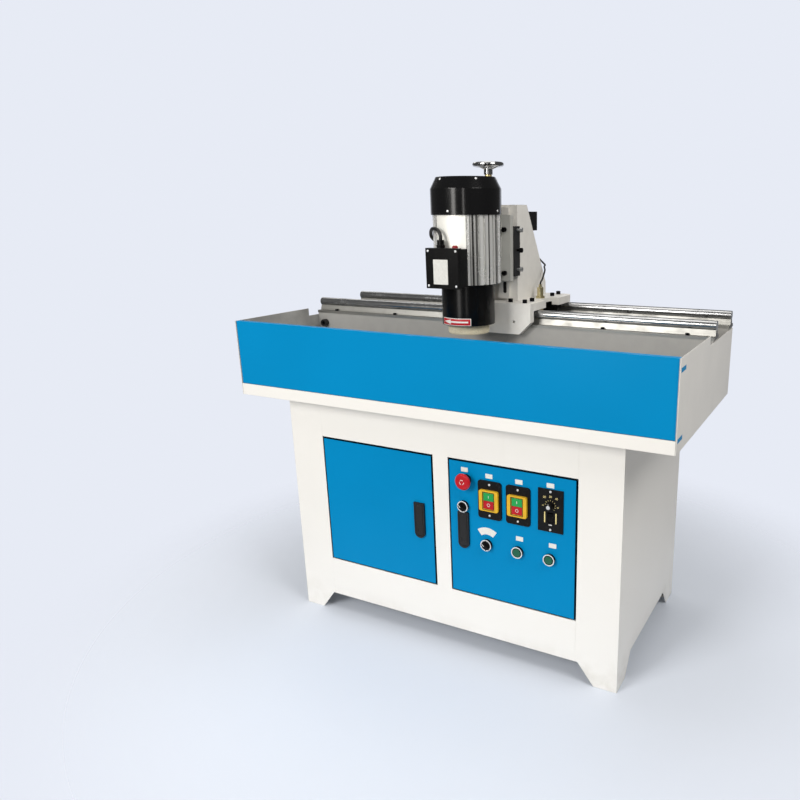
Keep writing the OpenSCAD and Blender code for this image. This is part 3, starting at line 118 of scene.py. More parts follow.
class GrinderSizes(bpy.types.PropertyGroup):
    """Sizes of the small fittings"""

    rail_screw_r: length("Rail screw radius", "Head radius of the rail screws", 0.0050)
    plate_screw_r: length("Plate screw radius", "Head radius of the motor plate screws", 0.0075)
    carriage_screw_r: length("Carriage screw radius", "Head radius of the carriage screws", 0.0065)
    small_screw_r: length("Small screw radius", "Head radius of the cover and plate screws", 0.0032)
    gib_screw_r: length("Gib screw radius", "Head radius of the gib screws", 0.0065)
    plug_r: length("Plug radius", "Radius of the red plug on the terminal box", 0.0075)
    sensor_cable_r: length("Sensor cable radius", "Radius of the sensor cable", 0.0025)
    motor_lead_r: length("Motor lead radius", "Radius of the motor lead", 0.0045)
    bezel_r: length("Bezel radius", "Outer radius of the bright ring round each round control", 0.0156)
    bezel_lip: length("Bezel lip", "Width of the bright ring round each round control", 0.0028)
    # Dark bars round the switch keys, a painted shadow of their gap
    gap_shadow_w: length("Seal width", "Width of the dark seal round the keys", 0.0016)
    tag_w: length("Tag width", "Width of the bare tags", 0.020)
    tag_h: length("Tag height", "Height of the bare tags", 0.012)
    tag_t: length("Tag thickness", "Thickness of tags and signs", 0.0006)
    sign_h: length("Sign height", "Height of the arrow sign on the guard", 0.019)
    mark_w: length("Mark width", "Width of a dial mark", 0.0009)
    mark_t: length("Mark thickness", "Thickness of printed marks", 0.0003)
    dial_marks: IntProperty(name="Dial marks", description="Count of marks round the dial", default=11, min=3)


class GrinderStudio(bpy.types.PropertyGroup):
    """Camera and light of the studio"""

    eye: FloatVectorProperty(
        name="Eye", description="Place of the camera", default=(0.94927, -1.69715, 1.16005), unit="LENGTH"
    )
    yaw: FloatProperty(name="Yaw", description="Turn of the camera from +Y to +X", default=-26.349)
    pitch: FloatProperty(name="Pitch", description="Tilt of the camera upwards", default=-15.697)
    roll: FloatProperty(name="Roll", description="Roll of the camera", default=-0.312)
    lens: FloatProperty(
        name="Lens", description="Focal length on a 36 mm sensor", default=31.63, unit="CAMERA"
    )
    shift: FloatVectorProperty(
        name="Shift", description="Sensor shift of the framing", default=(-0.1477, 0.0124), size=2
    )
    key_light: power("Key light", 88.0)
    fill_light: power("Fill light", 36.0)
    top_light: power("Top light", 24.0)
    strip_light: power("Strip light", 15.0)
    sky: FloatProperty(name="Sky", description="Strength of the room light", default=0.36)
    dark: FloatVectorProperty(
        name="Reflected room",
        description="What shiny pieces see of the room",
        default=(0.09, 0.09, 0.09),
        subtype="COLOR",
    )
    behind: FloatVectorProperty(
        name="Backdrop reach",
        description="How far round shiny pieces see the backdrop",
        default=(0.72, 0.92),
        size=2,
    )
    floor_fade: FloatVectorProperty(
        name="Floor fade",
        description="Distances between which the floor fades",
        default=(0.65, 1.4),
        size=2,
        unit="LENGTH",
    )


def linear(shown):
    """Shader colour of a colour as it shows on a screen."""
    return tuple(c / 12.92 if c <= 0.04045 else ((c + 0.055) / 1.055) ** 2.4 for c in shown) + (1.0,)


def shade(shown, factor):
    """The same colour, lighter or darker."""
    return tuple(min(1.0, c * factor) for c in shown)


class Value:
    """A shader socket that can be used in Python expressions."""

    def __init__(self, nodes, socket):
        self.nodes = nodes
        self.socket = socket

    def _math(self, operation, a, b):
        return self.nodes.node("ShaderNodeMath", {"operation": operation}, {0: a, 1: b})

    def __add__(self, other):
        return self._math("ADD", self, other)

    __radd__ = __add__

    def __mul__(self, other):
        return self._math("MULTIPLY", self, other)

    __rmul__ = __mul__

    def __sub__(self, other):
        return self._math("SUBTRACT", self, other)

    def __rsub__(self, other):
        return self._math("SUBTRACT", other, self)

    def __pow__(self, other):
        return self._math("POWER", self, other)

    def fade(self, low, high, start=0.0, end=1.0):
        """The value remapped smoothly from low..high to start..end."""
        settings = {"interpolation_type": "SMOOTHSTEP"}
        return self.nodes.node("ShaderNodeMapRange", settings, {0: self, 1: low, 2: high, 3: start, 4: end})


class Nodes:
    """A node tree in the making."""

    def __init__(self, tree):
        self.tree = tree

    def node(self, kind, settings, sockets, output=0):
        """Adds a node, sets it up, and returns one of its outputs."""
        made = self.tree.nodes.new(kind)
        for key, value in settings.items():
            setattr(made, key, value)
        for key, value in sockets.items():
            self.feed(made.inputs[key], value)
        return Value(self, made.outputs[output])

    def feed(self, socket, value):
        """Links a socket to a value, or sets it."""
        if isinstance(value, Value):
            self.tree.links.new(value.socket, socket)
        else:
            socket.default_value = value

    def mix(self, share, a, b):
        """Blend of two colours, each a socket or a shader colour."""
        return self.node("ShaderNodeMix", {"data_type": "RGBA"}, {0: share, 6: a, 7: b}, 2)


class Recipe(Nodes):
    """A material in the making: one Principled shader and the nodes that feed it."""

    def __init__(self, name):
        self.material = bpy.data.materials.new(name)
        self.material.use_nodes = True
        super().__init__(self.material.node_tree)
        self.shader = self.tree.nodes["Principled BSDF"]
        self.place = self.node("ShaderNodeTexCoord", {}, {}, "Object")

    def set(self, **sockets):
        """Sets or links sockets of the shader, by name with _ for a space."""
        for key, value in sockets.items():
            self.feed(self.shader.inputs[key.replace("_", " ")], value)
        return self

    def stretched(self, *scale):
        """Object coordinates scaled along each axis."""
        return self.node("ShaderNodeMapping", {}, {"Vector": self.place, "Scale": scale})

    def noise(self, scale, detail=3.0, vector=None):
        """Fractal noise from 0 to 1."""
        sockets = {"Vector": vector or self.place, "Scale": scale, "Detail": detail, "Roughness": 0.55}
        return self.node("ShaderNodeTexNoise", {}, sockets)

    def cells(self, scale):
        """Distance to the nearest point of a scatter of points."""
        return self.node("ShaderNodeTexVoronoi", {}, {"Vector": self.place, "Scale": scale})

    def axis(self, name):
        """One coordinate of the place on the piece, in metres."""
        return self.node("ShaderNodeSeparateXYZ", {}, {0: self.place}, name)

    def tones(self, share, shown, first, second):
        """Blend of two tones of one colour."""
        return self.mix(share, linear(shade(shown, first)), linear(shade(shown, second)))

    def layer(self, share, under, shown):
        """A plain colour laid over a finish."""
        return self.mix(share, under, linear(shown))

    def rounded(self, radius):
        """Normal of the surface with its edges rounded at a radius."""
        return self.node("ShaderNodeBevel", {"samples": 4}, {"Radius": radius})

    def edges(self, radius):
        """About 1 on edges rounded at that radius, and 0 on flat faces."""
        hard = self.node("ShaderNodeNewGeometry", {}, {}, "Normal")
        sockets = {0: self.rounded(radius), 1: hard}
        facing = self.node("ShaderNodeVectorMath", {"operation": "DOT_PRODUCT"}, sockets, "Value")
        return (1 - facing).fade(0.02, 0.22)

    def rubbed(self, radius, scale, detail, low, high):
        """Edges worn in patches."""
        return self.edges(radius) * self.noise(scale, detail).fade(low, high)

    def bump(self, height, strength, distance, radius=0.0):
        """Surface relief from a height, over edges rounded at a radius."""
        sockets = {"Height": height, "Strength": strength, "Distance": distance}
        if radius:
            sockets["Normal"] = self.rounded(radius)
        return self.node("ShaderNodeBump", {}, sockets)

    def orange_peel(self, fine, coarse, strength, radius):
        """Relief of sprayed and baked paint."""
        skin = self.noise(fine, 1.0) + 0.6 * self.noise(coarse, 1.0)
        return self.bump(skin, strength, 0.5 * MM, radius)


PRIMER = (0.93, 0.93, 0.92)
# Distances from a sheet's edges between which its dark line of painted shadow from the gap fades, in
# millimetres; wider at the top and right, where more shade falls
GAP_SHADE_FADE = {"left": (0.8, 2.2), "right": (3.4, 2.2), "bottom": (0.4, 1.6), "top": (3.2, 2.0)}
# The painted shadow line also ends below the lower edge, and behind the front
GAP_SHADE_BELOW = (1.2, 0.6)
GAP_SHADE_DEPTH = (4.4, 5.0)


def painted_gap_shade(r, rim):
    """1 on a thin line of painted shadow from the gap round a sheet, along its front, for a rim given as
    front, left, bottom, right and top.
    """
    front, left, bottom, right, top = rim
    x, y, z = r.axis("X"), r.axis("Y"), r.axis("Z")

    def rising(value, edge, reach):
        return value.fade(edge + reach[0] * MM, edge + reach[1] * MM)

    def falling(value, edge, reach):
        return value.fade(edge - reach[0] * MM, edge - reach[1] * MM, 1.0, 0.0)

    across = rising(x, left, GAP_SHADE_FADE["left"]) * falling(x, right, GAP_SHADE_FADE["right"])
    above = rising(z, bottom, GAP_SHADE_FADE["bottom"]) * falling(z, top, GAP_SHADE_FADE["top"])
    below = falling(z, bottom, GAP_SHADE_BELOW)
    return (1.0 - across * (above + below)) * (1.0 - rising(y, front, GAP_SHADE_DEPTH))


def sheet_paint(name, shown, rough, peel=0.06, coat=0.25, shine=0.5, rim=None):
    """Baked sheet paint: blotches, orange peel, rubbed edges, scuffs, and a dark line of painted shadow from
    the gap along its rim.
    """
    r = Recipe(name)
    blotch = r.noise(2.6, 2.0)
    speck = r.noise(240.0, 2.0).fade(0.66, 0.78)
    scuff = r.noise(5.0, 6.0, r.stretched(1.0, 1.0, 5.0)).fade(0.68, 0.86)
    body = r.tones(blotch, shown, 0.955, 1.03)
    dusted = r.layer(speck * 0.16, body, shade(shown, 0.82))
    worn = r.layer(r.rubbed(1.6 * MM, 26.0, 4.0, 0.40, 0.72) * 0.35, dusted, PRIMER)
    finish = r.layer(scuff * 0.10, worn, shade(shown, 0.80))
    # Painted shadow of the gap round the sheet: a dark line along its rim
    if rim:
        finish = r.layer(painted_gap_shade(r, rim), finish, shade(shown, 0.10))
    return r.set(
        Base_Color=finish,
        Roughness=rough + 0.10 * blotch + 0.16 * scuff,
        Normal=r.orange_peel(420.0, 90.0, peel, 1.0 * MM),
        Specular_IOR_Level=shine,
        Coat_Weight=coat,
        Coat_Roughness=0.18,
    ).material


def tray_paint(name, shown, sheet):
    """Paint of the tray ends: clean outside, and a darker, duller grey with more dark flecks on the inner
    faces.
    """
    r = Recipe(name)
    across = r.axis("X")
    inside = ((across * across) ** 0.5).fade(sheet - 1.4 * MM, sheet - 0.8 * MM, 1.0, 0.0)
    cloud = r.noise(9.0, 5.0)
    fleck = r.noise(260.0, 3.0).fade(0.58, 0.74)
    body = r.tones(cloud, shown, 0.96, 1.03)
    # The inner faces are darker and duller than the outer ones
    dust = r.tones(cloud.fade(0.3, 0.7), shown, 0.60, 0.76)
    soiled = r.mix(inside, body, dust)
    flecked = r.layer(fleck * (0.08 + 0.25 * inside), soiled, shade(shown, 0.45))
    return r.set(
        Base_Color=r.layer(r.rubbed(1.6 * MM, 26.0, 4.0, 0.40, 0.72) * 0.35, flecked, PRIMER),
        Roughness=0.34 + 0.10 * cloud + 0.25 * inside,
        Normal=r.orange_peel(420.0, 90.0, 0.06, 1.0 * MM),
        Coat_Weight=0.2 - 0.18 * inside,
        Coat_Roughness=0.2,
    ).material


def cabinet_paint(name, shown):
    """Cabinet paint with faint runs, patchy darkening towards the floor and rubbed edges."""
    r = Recipe(name)
    blotch = r.noise(1.9, 3.0)
    # Patchy darker tone towards the bottom, fading out 110 mm above the floor
    dust = r.axis("Z").fade(0.0, 110 * MM, 1.0, 0.0) * r.noise(14.0, 5.0).fade(0.34, 0.74)
    streak = r.noise(3.0, 5.0, r.stretched(9.0, 9.0, 0.7)).fade(0.60, 0.85)
    body = r.tones(blotch, shown, 0.97, 1.015)
    run = r.layer(streak * 0.09, body, (0.78, 0.76, 0.70))
    darker_foot = r.layer(dust * 0.38, run, (0.66, 0.63, 0.56))
    return r.set(
        Base_Color=r.layer(r.rubbed(1.8 * MM, 22.0, 4.0, 0.44, 0.76) * 0.30, darker_foot, (0.62, 0.60, 0.56)),
        Roughness=0.36 + 0.10 * blotch + 0.2 * dust,
        Normal=r.orange_peel(400.0, 80.0, 0.06, 1.2 * MM),
        Coat_Weight=0.18,
        Coat_Roughness=0.22,
    ).material


def cast_paint(name, shown):
    """Filled and painted castings: soft unevenness, a little oil dirt, chipped edges."""
    r = Recipe(name)
    lumps = r.noise(34.0, 4.0)
    grain = r.noise(520.0, 2.0)
    dirt = r.noise(7.0, 5.0).fade(0.52, 0.86)
    soiled = r.layer(dirt * 0.22, r.tones(lumps, shown, 0.95, 1.03), (0.58, 0.56, 0.52))
    return r.set(
        Base_Color=r.layer(r.rubbed(1.4 * MM, 48.0, 5.0, 0.50, 0.72) * 0.45, soiled, (0.45, 0.44, 0.43)),
        Roughness=0.42 + 0.16 * lumps,
        Normal=r.bump(lumps * 0.7 + grain * 0.3, 0.16, 0.8 * MM, 1.2 * MM),
        Coat_Weight=0.10,
        Coat_Roughness=0.25,
    ).material


def drawn_metal(name, shown, along, rough, fleck=0.3, contrast=0.16, metallic=1.0):
    """Ground or drawn metal with fine lines along one axis, smudges and small dark flecks."""
    r = Recipe(name)
    lines = r.noise(1.0, 3.0, r.stretched(*(3.0 if i == along else 900.0 for i in range(3))))
    bands = r.noise(1.0, 3.0, r.stretched(*(1.2 if i == along else 70.0 for i in range(3))))
    smudge = r.noise(18.0, 5.0).fade(0.42, 0.75)
    spots = r.noise(130.0, 3.0).fade(0.66, 0.76)
    body = r.tones(bands, shown, 1.0 - contrast, 1.0 + contrast / 2)
    dull = r.layer(smudge * 0.35, body, shade(shown, 0.72))
    return r.set(
        Base_Color=r.layer(spots * fleck, dull, (0.16, 0.15, 0.14)),
        Metallic=metallic,
        Roughness=rough + 0.14 * smudge + 0.08 * lines,
        Normal=r.bump(lines, 0.10, 0.2 * MM, 0.8 * MM),
    ).material


def motor_metal(name, shown, pad_y):
    """Extruded aluminium: ribs with strong dark and light streaks, part polishing streaks and part painted
    reflection, and in front of the place pad_y a satin pad, made lighter and less metallic as a painted
    highlight.
    """
    r = Recipe(name)
    # Painted highlight: in front of pad_y the body is lighter and less metallic, so the pad shows bright
    pad = r.axis("Y").fade(pad_y - 1.0 * MM, pad_y + 1.0 * MM, 1.0, 0.0)
    lines = r.noise(1.0, 3.0, r.stretched(700.0, 700.0, 3.0))
    # Dark and light streaks along the ribs: part polishing streaks, part painted reflection
    bands = r.noise(1.0, 2.0, r.stretched(75.0, 75.0, 0.25)).fade(0.37, 0.53)
    smudge = r.noise(16.0, 5.0).fade(0.42, 0.75)
    ribs = r.tones(bands, shown, 0.40, 1.10)
    satin = r.tones(smudge * 0.4, shown, 1.08, 0.96)
    return r.set(
        Base_Color=r.mix(pad, ribs, satin),
        Metallic=0.62 - 0.42 * pad,
        Roughness=0.20 + 0.12 * smudge + 0.06 * lines + 0.14 * pad,
        Normal=r.bump(lines, 0.08, 0.2 * MM, 0.8 * MM),
    ).material


def gloss_enamel(name, shown, rough=0.17, coat=0.35, shine=0.5):
    """Black baked enamel: deep gloss, slow waves, dust and fine swirl marks."""
    r = Recipe(name)
    wave = r.noise(9.0, 2.0)
    dust = r.noise(310.0, 3.0).fade(0.62, 0.80)
    swirl = r.noise(2.0, 4.0, r.stretched(60.0, 60.0, 9.0)).fade(0.55, 0.85)
    body = r.layer(dust * 0.05, linear(shown), (0.30, 0.30, 0.30))
    return r.set(
        Base_Color=r.layer(r.rubbed(1.2 * MM, 60.0, 3.0, 0.48, 0.70) * 0.20, body, (0.35, 0.34, 0.33)),
        Roughness=rough + 0.12 * dust + 0.07 * swirl,
        Normal=r.bump(wave, 0.05, 2 * MM, 1.6 * MM),
        Specular_IOR_Level=shine,
        Coat_Weight=coat,
        Coat_Roughness=0.12,
    ).material


def moulded_plastic(name, shown, rough=0.42, grain=0.10, shine=0.5):
    """Moulded plastic: spark-eroded grain, faint flow marks and shiny rubbed edges."""
    r = Recipe(name)
    flow = r.noise(30.0, 3.0)
    spark = r.noise(900.0, 2.0)
    rub = r.edges(0.9 * MM)
    dust = r.noise(160.0, 3.0).fade(0.60, 0.82)
    dusted = r.layer(dust * 0.10, r.tones(flow, shown, 0.90, 1.08), (0.55, 0.54, 0.52))
    return r.set(
        Base_Color=r.layer(rub * 0.16, dusted, shade(shown, 1.5)),
        Roughness=rough + 0.12 * flow - 0.10 * rub,
        Specular_IOR_Level=shine,
        Normal=r.bump(spark, grain, 0.3 * MM, 0.7 * MM),
    ).material


def abrasive(name, shown):
    """Bonded abrasive: packed pale grains in a slightly darker bond, with open pores that carry painted
    shade.
    """
    r = Recipe(name)
    grain = r.cells(640.0)
    # Painted shade in the hollows of the open pores
    shaded_pores = r.cells(270.0).fade(0.10, 0.34, 1.0, 0.0)
    stain = r.noise(40.0, 3.0)
    stained = r.layer(stain.fade(0.45, 0.8) * 0.25, r.tones(grain, shown, 1.06, 0.78), (0.70, 0.64, 0.52))
    return r.set(
        Base_Color=r.layer(shaded_pores * 0.35, stained, (0.48, 0.43, 0.34)),
        Roughness=0.86 + 0.1 * stain,
        Normal=r.bump(grain - shaded_pores, 0.45, 0.6 * MM, 0.8 * MM),
    ).material


def zinc_sheet(name, shown):
    """Galvanised sheet with soft crystal spangle."""
    r = Recipe(name)
    spangle = r.node("ShaderNodeTexVoronoi", {}, {"Vector": r.place, "Scale": 70.0}, "Color")
    tone = r.node("ShaderNodeRGBToBW", {}, {0: spangle})
    cloud = r.noise(6.0, 4.0)
    return r.set(
        Base_Color=r.tones(tone * 0.7 + cloud * 0.3, shown, 0.82, 1.08),
        Metallic=0.85,
        Roughness=0.34 + 0.22 * cloud,
        Normal=r.bump(tone, 0.05, 0.3 * MM, 1.0 * MM),
    ).material


def cable_sheath(name, shown):
    """Flexible cable sheath, matt, slightly grained and dusty."""
    r = Recipe(name)
    grain = r.noise(420.0, 2.0)
    dust = r.noise(60.0, 4.0).fade(0.50, 0.80)
    finish = r.layer(dust * 0.22, linear(shown), (0.34, 0.33, 0.31))
    relief = r.bump(grain, 0.08, 0.2 * MM)
    return r.set(Base_Color=finish, Roughness=0.46 + 0.2 * dust, Normal=relief).material


def printed(name, shown):
    """Printed or enamelled mark, slightly uneven."""
    r = Recipe(name)
    worn = r.noise(220.0, 4.0)
    return r.set(Base_Color=r.tones(worn, shown, 0.90, 1.05), Roughness=0.40 + 0.15 * worn).material


def clear_selection():
    """Nothing selected, so that an operator acts on the new piece alone."""
    if bpy.context.object and bpy.context.object.mode == "EDIT":
        bpy.ops.object.mode_set(mode="OBJECT")
    bpy.ops.object.select_all(action="DESELECT")


def pick(obj, test, kind="FACE"):
    """Selects the faces or edges of obj for which test(centre, normal or direction) is true, in edit mode."""
    bpy.ops.object.mode_set(mode="OBJECT")
    mesh = obj.data
    for item in (*mesh.vertices, *mesh.edges, *mesh.polygons):
        item.select = False
    if kind == "FACE":
        for face in mesh.polygons:
            face.select = test(face.center, face.normal)
    else:
        for edge in mesh.edges:
            a, b = (mesh.vertices[i].co for i in edge.vertices)
            edge.select = test((a + b) / 2, (b - a).normalized())
    bpy.ops.object.mode_set(mode="EDIT")
    bpy.ops.mesh.select_mode(type=kind)


def modify(obj, kind, **settings):
    """Adds a modifier and applies it."""
    made = obj.modifiers.new(kind.title(), kind)
    for key, value in settings.items():
        setattr(made, key, value)
    bpy.context.view_layer.objects.active = obj
    bpy.ops.object.modifier_apply(modifier=made.name)


def done(obj, name):
    """Ends the modelling of a piece: names it and puts its place into its mesh."""
    bpy.ops.object.mode_set(mode="OBJECT")
    obj.name = name
    obj.data.transform(obj.matrix_world)
    obj.matrix_world = Matrix.Identity(4)
    return obj


def joined(pieces, name):
    """One object from several."""
    clear_selection()
    for piece in pieces:
        piece.select_set(True)
    bpy.context.view_layer.objects.active = pieces[0]
    if len(pieces) > 1:
        bpy.ops.object.join()
    pieces[0].name = name
    pieces[0].data.name = name
    return pieces[0]


def facing(direction):
    """Turn that brings +Z to a direction."""
    return Vector(direction).to_track_quat("Z", "Y").to_matrix().to_4x4()


def moved(obj, at, direction=TOP, turn=0.0):
    """Sets a piece modelled at the origin at its place: +Z to the direction, turned about it."""
    spin = Matrix.Rotation(turn, 4, "Z")
    obj.data.transform(Matrix.Translation(Vector(at)) @ facing(direction) @ spin)
    return obj


def copies(master, places, name):
    """Copies of a piece modelled at the origin along +Z, at (place, direction) pairs, as one object."""
    made = []
    for at, direction in places:
        twin = master.copy()
        twin.data = master.data.copy()
        bpy.context.scene.collection.objects.link(twin)
        made.append(moved(twin, at, direction))
    bpy.data.objects.remove(master)
    return joined(made, name)


def smooth(obj, degrees=35.0):
    """Smooth shading across all but the sharp edges."""
    clear_selection()
    obj.select_set(True)
    bpy.context.view_layer.objects.active = obj
    bpy.ops.object.shade_smooth_by_angle(angle=math.radians(degrees))


def cap_screw(radius, height):
    """Screw head standing on the origin along +Z, with a rounded rim and a socket in its top."""
    clear_selection()
    bpy.ops.mesh.primitive_cylinder_add(vertices=24, radius=radius, depth=height)
    screw = bpy.context.object
    screw.data.transform(Matrix.Translation((0.0, 0.0, height / 2)))
    pick(screw, lambda c, n: n.z > 0.9)
    bpy.ops.mesh.inset(thickness=radius * 0.24, depth=0.0)
    bpy.ops.mesh.inset(thickness=radius * 0.24, depth=0.0)
    bpy.ops.mesh.extrude_region_move(TRANSFORM_OT_translate={"value": (0.0, 0.0, -height * 0.55)})
    pick(screw, lambda c, d: abs(d.z) < 0.1 and c.z > height * 0.9 and c.xy.length > radius * 0.9, "EDGE")
    bpy.ops.mesh.bevel(offset=radius * 0.12, segments=2)
    bpy.ops.object.mode_set(mode="OBJECT")
    smooth(screw)
    return screw


def necked_screw(radius, height, neck_r, neck):
    """Cap screw on the origin along +Z, its head carried off the surface by a bare length of shank."""
    screw = cap_screw(radius, height)
    screw.data.transform(Matrix.Translation((0.0, 0.0, neck)))
    pick(screw, lambda c, n: n.z < -0.9)
    bpy.ops.mesh.inset(thickness=radius - neck_r, depth=0.0)
    bpy.ops.mesh.extrude_region_move(TRANSFORM_OT_translate={"value": (0.0, 0.0, -neck)})
    bpy.ops.object.mode_set(mode="OBJECT")
    smooth(screw)
    return screw


def pan_screw(radius):
    """Low round screw head on the origin along +Z, with a round recess."""
    height = radius * 0.6
    clear_selection()
    bpy.ops.mesh.primitive_uv_sphere_add(segments=20, ring_count=10, radius=radius)
    screw = bpy.context.object
    bpy.ops.object.mode_set(mode="EDIT")
    bpy.ops.mesh.select_all(action="SELECT")
    bpy.ops.mesh.bisect(plane_co=(0.0, 0.0, 0.0), plane_no=(0.0, 0.0, -1.0), clear_outer=True, use_fill=True)
    bpy.ops.object.mode_set(mode="OBJECT")
    screw.data.transform(Matrix.Diagonal((1.0, 1.0, height / radius, 1.0)))
    pick(screw, lambda c, n: c.xy.length < radius * 0.45 and n.z > 0.5)
    bpy.ops.mesh.inset(thickness=radius * 0.05, depth=-height * 0.35)
    bpy.ops.object.mode_set(mode="OBJECT")
    smooth(screw, 50.0)
    return screw


def rounded_plate(width, height, thickness, corner, edge=0.3 * MM, segments=5):
    """Plate on the origin, width along X and height along Y, standing along +Z, with round corners."""
    clear_selection()
    bpy.ops.mesh.primitive_cube_add(size=1.0, location=(0.0, 0.0, thickness / 2))
    plate = bpy.context.object
    plate.scale = (width, height, thickness)
    bpy.ops.object.transform_apply(location=True, rotation=False, scale=True)
    pick(plate, lambda c, d: abs(d.z) > 0.9, "EDGE")
    bpy.ops.mesh.bevel(offset=corner, segments=segments)
    pick(plate, lambda c, n: n.z > 0.9)
    bpy.ops.mesh.inset(thickness=edge, depth=0.0)
    bpy.ops.transform.translate(value=(0.0, 0.0, edge))
    bpy.ops.object.mode_set(mode="OBJECT")
    smooth(plate)
    return plate


def bar(width, height, thickness):
    """Small rounded bar for a mark."""
    return rounded_plate(width, height, thickness, min(width, height) * 0.3, thickness * 0.3, 3)


def faced_up(obj):
    """Turns a flat sheet over if its face looks down."""
    bpy.ops.mesh.normals_make_consistent(inside=False)
    bpy.ops.object.mode_set(mode="OBJECT")
    if obj.data.polygons[0].normal.z < 0.0:
        obj.data.flip_normals()


def collar_ring(inner, outer, thickness, sides=48):
    """Flat ring round the origin, standing along +Z, with rounded edges."""
    clear_selection()
    bpy.ops.mesh.primitive_circle_add(vertices=sides, radius=inner, fill_type="NOTHING")
    ring = bpy.context.object
    bpy.ops.object.mode_set(mode="EDIT")
    bpy.ops.mesh.select_all(action="SELECT")
    bpy.ops.mesh.extrude_edges_move()
    grow = outer / inner
    bpy.ops.transform.resize(value=(grow, grow, 1.0))
    bpy.ops.mesh.select_all(action="SELECT")
    faced_up(ring)
    modify(ring, "SOLIDIFY", thickness=thickness, offset=1.0)
    modify(ring, "BEVEL", width=thickness * 0.3, segments=2, limit_method="ANGLE")
    smooth(ring)
    return ring


def arrow_outline(width, height, thickness):
    """Flat arrow on the origin, pointing to -X, standing along +Z."""
    shaft, neck = height * 0.36, -width * 0.16
    upper = [(neck, height / 2), (neck, shaft / 2), (width / 2, shaft / 2)]
    points = [(-width / 2, 0.0), *upper, *((x, -y) for x, y in (upper[2], upper[1], upper[0]))]
    clear_selection()
    bpy.ops.mesh.primitive_circle_add(vertices=len(points), radius=width / 2, fill_type="NGON")
    arrow = bpy.context.object
    for vert, place in zip(arrow.data.vertices, points):
        vert.co = (*place, 0.0)
    bpy.ops.object.mode_set(mode="EDIT")
    bpy.ops.mesh.select_all(action="SELECT")
    bpy.ops.mesh.quads_convert_to_tris()
    bpy.ops.mesh.subdivide(number_cuts=4)
    faced_up(arrow)
    modify(arrow, "SOLIDIFY", thickness=thickness, offset=1.0)
    return arrow


def curled_grid(steps, place):
    """Grid one unit wide and high, each point of which is set at place(x, y)."""
    clear_selection()
    bpy.ops.mesh.primitive_grid_add(x_subdivisions=steps, y_subdivisions=2, size=1.0)
    sheet = bpy.context.object
    for vert in sheet.data.vertices:
        vert.co = place(vert.co.x, vert.co.y)
    return sheet


def wrapped_plate(radius, turn, sweep, base, height, thickness):
    """Thin plate round a vertical drum on the Z axis: from base upwards, sweep degrees wide about turn."""

    def on_drum(x, y):
        angle = math.radians(turn + x * sweep)
        return radius * math.cos(angle), radius * math.sin(angle), base + (y + 0.5) * height

    plate = curled_grid(24, on_drum)
    modify(plate, "SOLIDIFY", thickness=thickness, offset=1.0)
    rim = {"segments": 2, "limit_method": "ANGLE", "angle_limit": math.radians(60)}
    modify(plate, "BEVEL", width=thickness * 0.35, **rim)
    smooth(plate)
    return plate


def bent_round(obj, radius, turn, base):
    """Wraps a flat piece, width along X and height along Y, onto a drum on the Z axis."""
    for vert in obj.data.vertices:
        angle = math.radians(turn) + vert.co.x / radius
        reach = radius + vert.co.z
        vert.co = (reach * math.cos(angle), reach * math.sin(angle), base + vert.co.y)
    return obj


def bent_flat(obj, radius):
    """Bends a flat piece along X into an arc about the origin, in its own plane."""
    for vert in obj.data.vertices:
        turn, reach = vert.co.x / radius, radius + vert.co.y
        vert.co = (reach * math.sin(turn), reach * math.cos(turn), vert.co.z)
    return obj


def written(text, size, depth):
    """Upright figures about the origin, standing along +Z."""
    clear_selection()
    bpy.ops.object.text_add()
    sign = bpy.context.object
    sign.data.body = text
    sign.data.size = size
    sign.data.align_x = "CENTER"
    sign.data.align_y = "CENTER"
    sign.data.extrude = depth / 2
    bpy.ops.object.convert(target="MESH")
    sign = bpy.context.object
    sign.data.transform(Matrix.Translation((0.0, 0.0, depth / 2)))
    return sign


def swept_cable(points, radius, name):
    """Smooth round cable through points in metres."""
    curve = bpy.data.curves.new(name, "CURVE")
    curve.dimensions = "3D"
    curve.resolution_u = 8
    spline = curve.splines.new("BEZIER")
    spline.bezier_points.add(len(points) - 1)
    for knot, place in zip(spline.bezier_points, points):
        knot.co = place
        knot.handle_left_type = knot.handle_right_type = "AUTO"
    curve.bevel_depth = radius
    curve.bevel_resolution = 4
    curve.use_fill_caps = True
    cable = bpy.data.objects.new(name, curve)
    bpy.context.scene.collection.objects.link(cable)
    return cable


def path_length(points):
    """Length of a broken line."""
    return sum((b - a).length for a, b in zip(points, points[1:]))


def low(node):
    """Lowest corner of a node, in metres."""
    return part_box(node)[0]


def high(node):
    """Highest corner of a node, in metres."""
    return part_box(node)[1]


def mid(node):
    """Middle of a node's box, in metres."""
    return (low(node) + high(node)) / 2


def on_face(node, piece, up=0.0, turn=0.0):
    """Sets a mark on the front of a control, a distance above its middle, turned about it."""
    middle = mid(node)
    offset = Vector((math.sin(turn), 0.0, math.cos(turn))) * up
    return moved(piece, Vector((middle.x, low(node).y, middle.z)) + offset, FRONT, -turn)


# Finishes that a single node has in place of its slot's finish
OWN_FINISH = {
    "bed": "bed_dull",
    "wheel_guard": "guard_satin",
    # The doors and the front plate carry a painted shadow of the gap along their rims
    "left_door": "left_door_blue_gap_shaded",
    "right_door": "right_door_blue_gap_shaded",
    "tray_front_plate": "front_plate_blue_gap_shaded",
    "direction_toggle": "rocker_black",
}
# Finishes of the fittings modelled here, and the slot of the record that each one stands for
FITTING_SLOTS = {
    "black_screw": "dark_steel",
    "bright_screw": "spindle_steel",
    "gib_steel": "spindle_steel",
    "bezel": "spindle_steel",
    "screw_brass": "screw_brass",
    "sign_gold": "screw_brass",
    "sign_white": "tray_grey",
    "nameplate": "tray_grey",
    "sign_red": "stop_red",
    "plug_red": "stop_red",
    "rubber_black": "rubber_black",
    "cable_black": "cable_black",
}


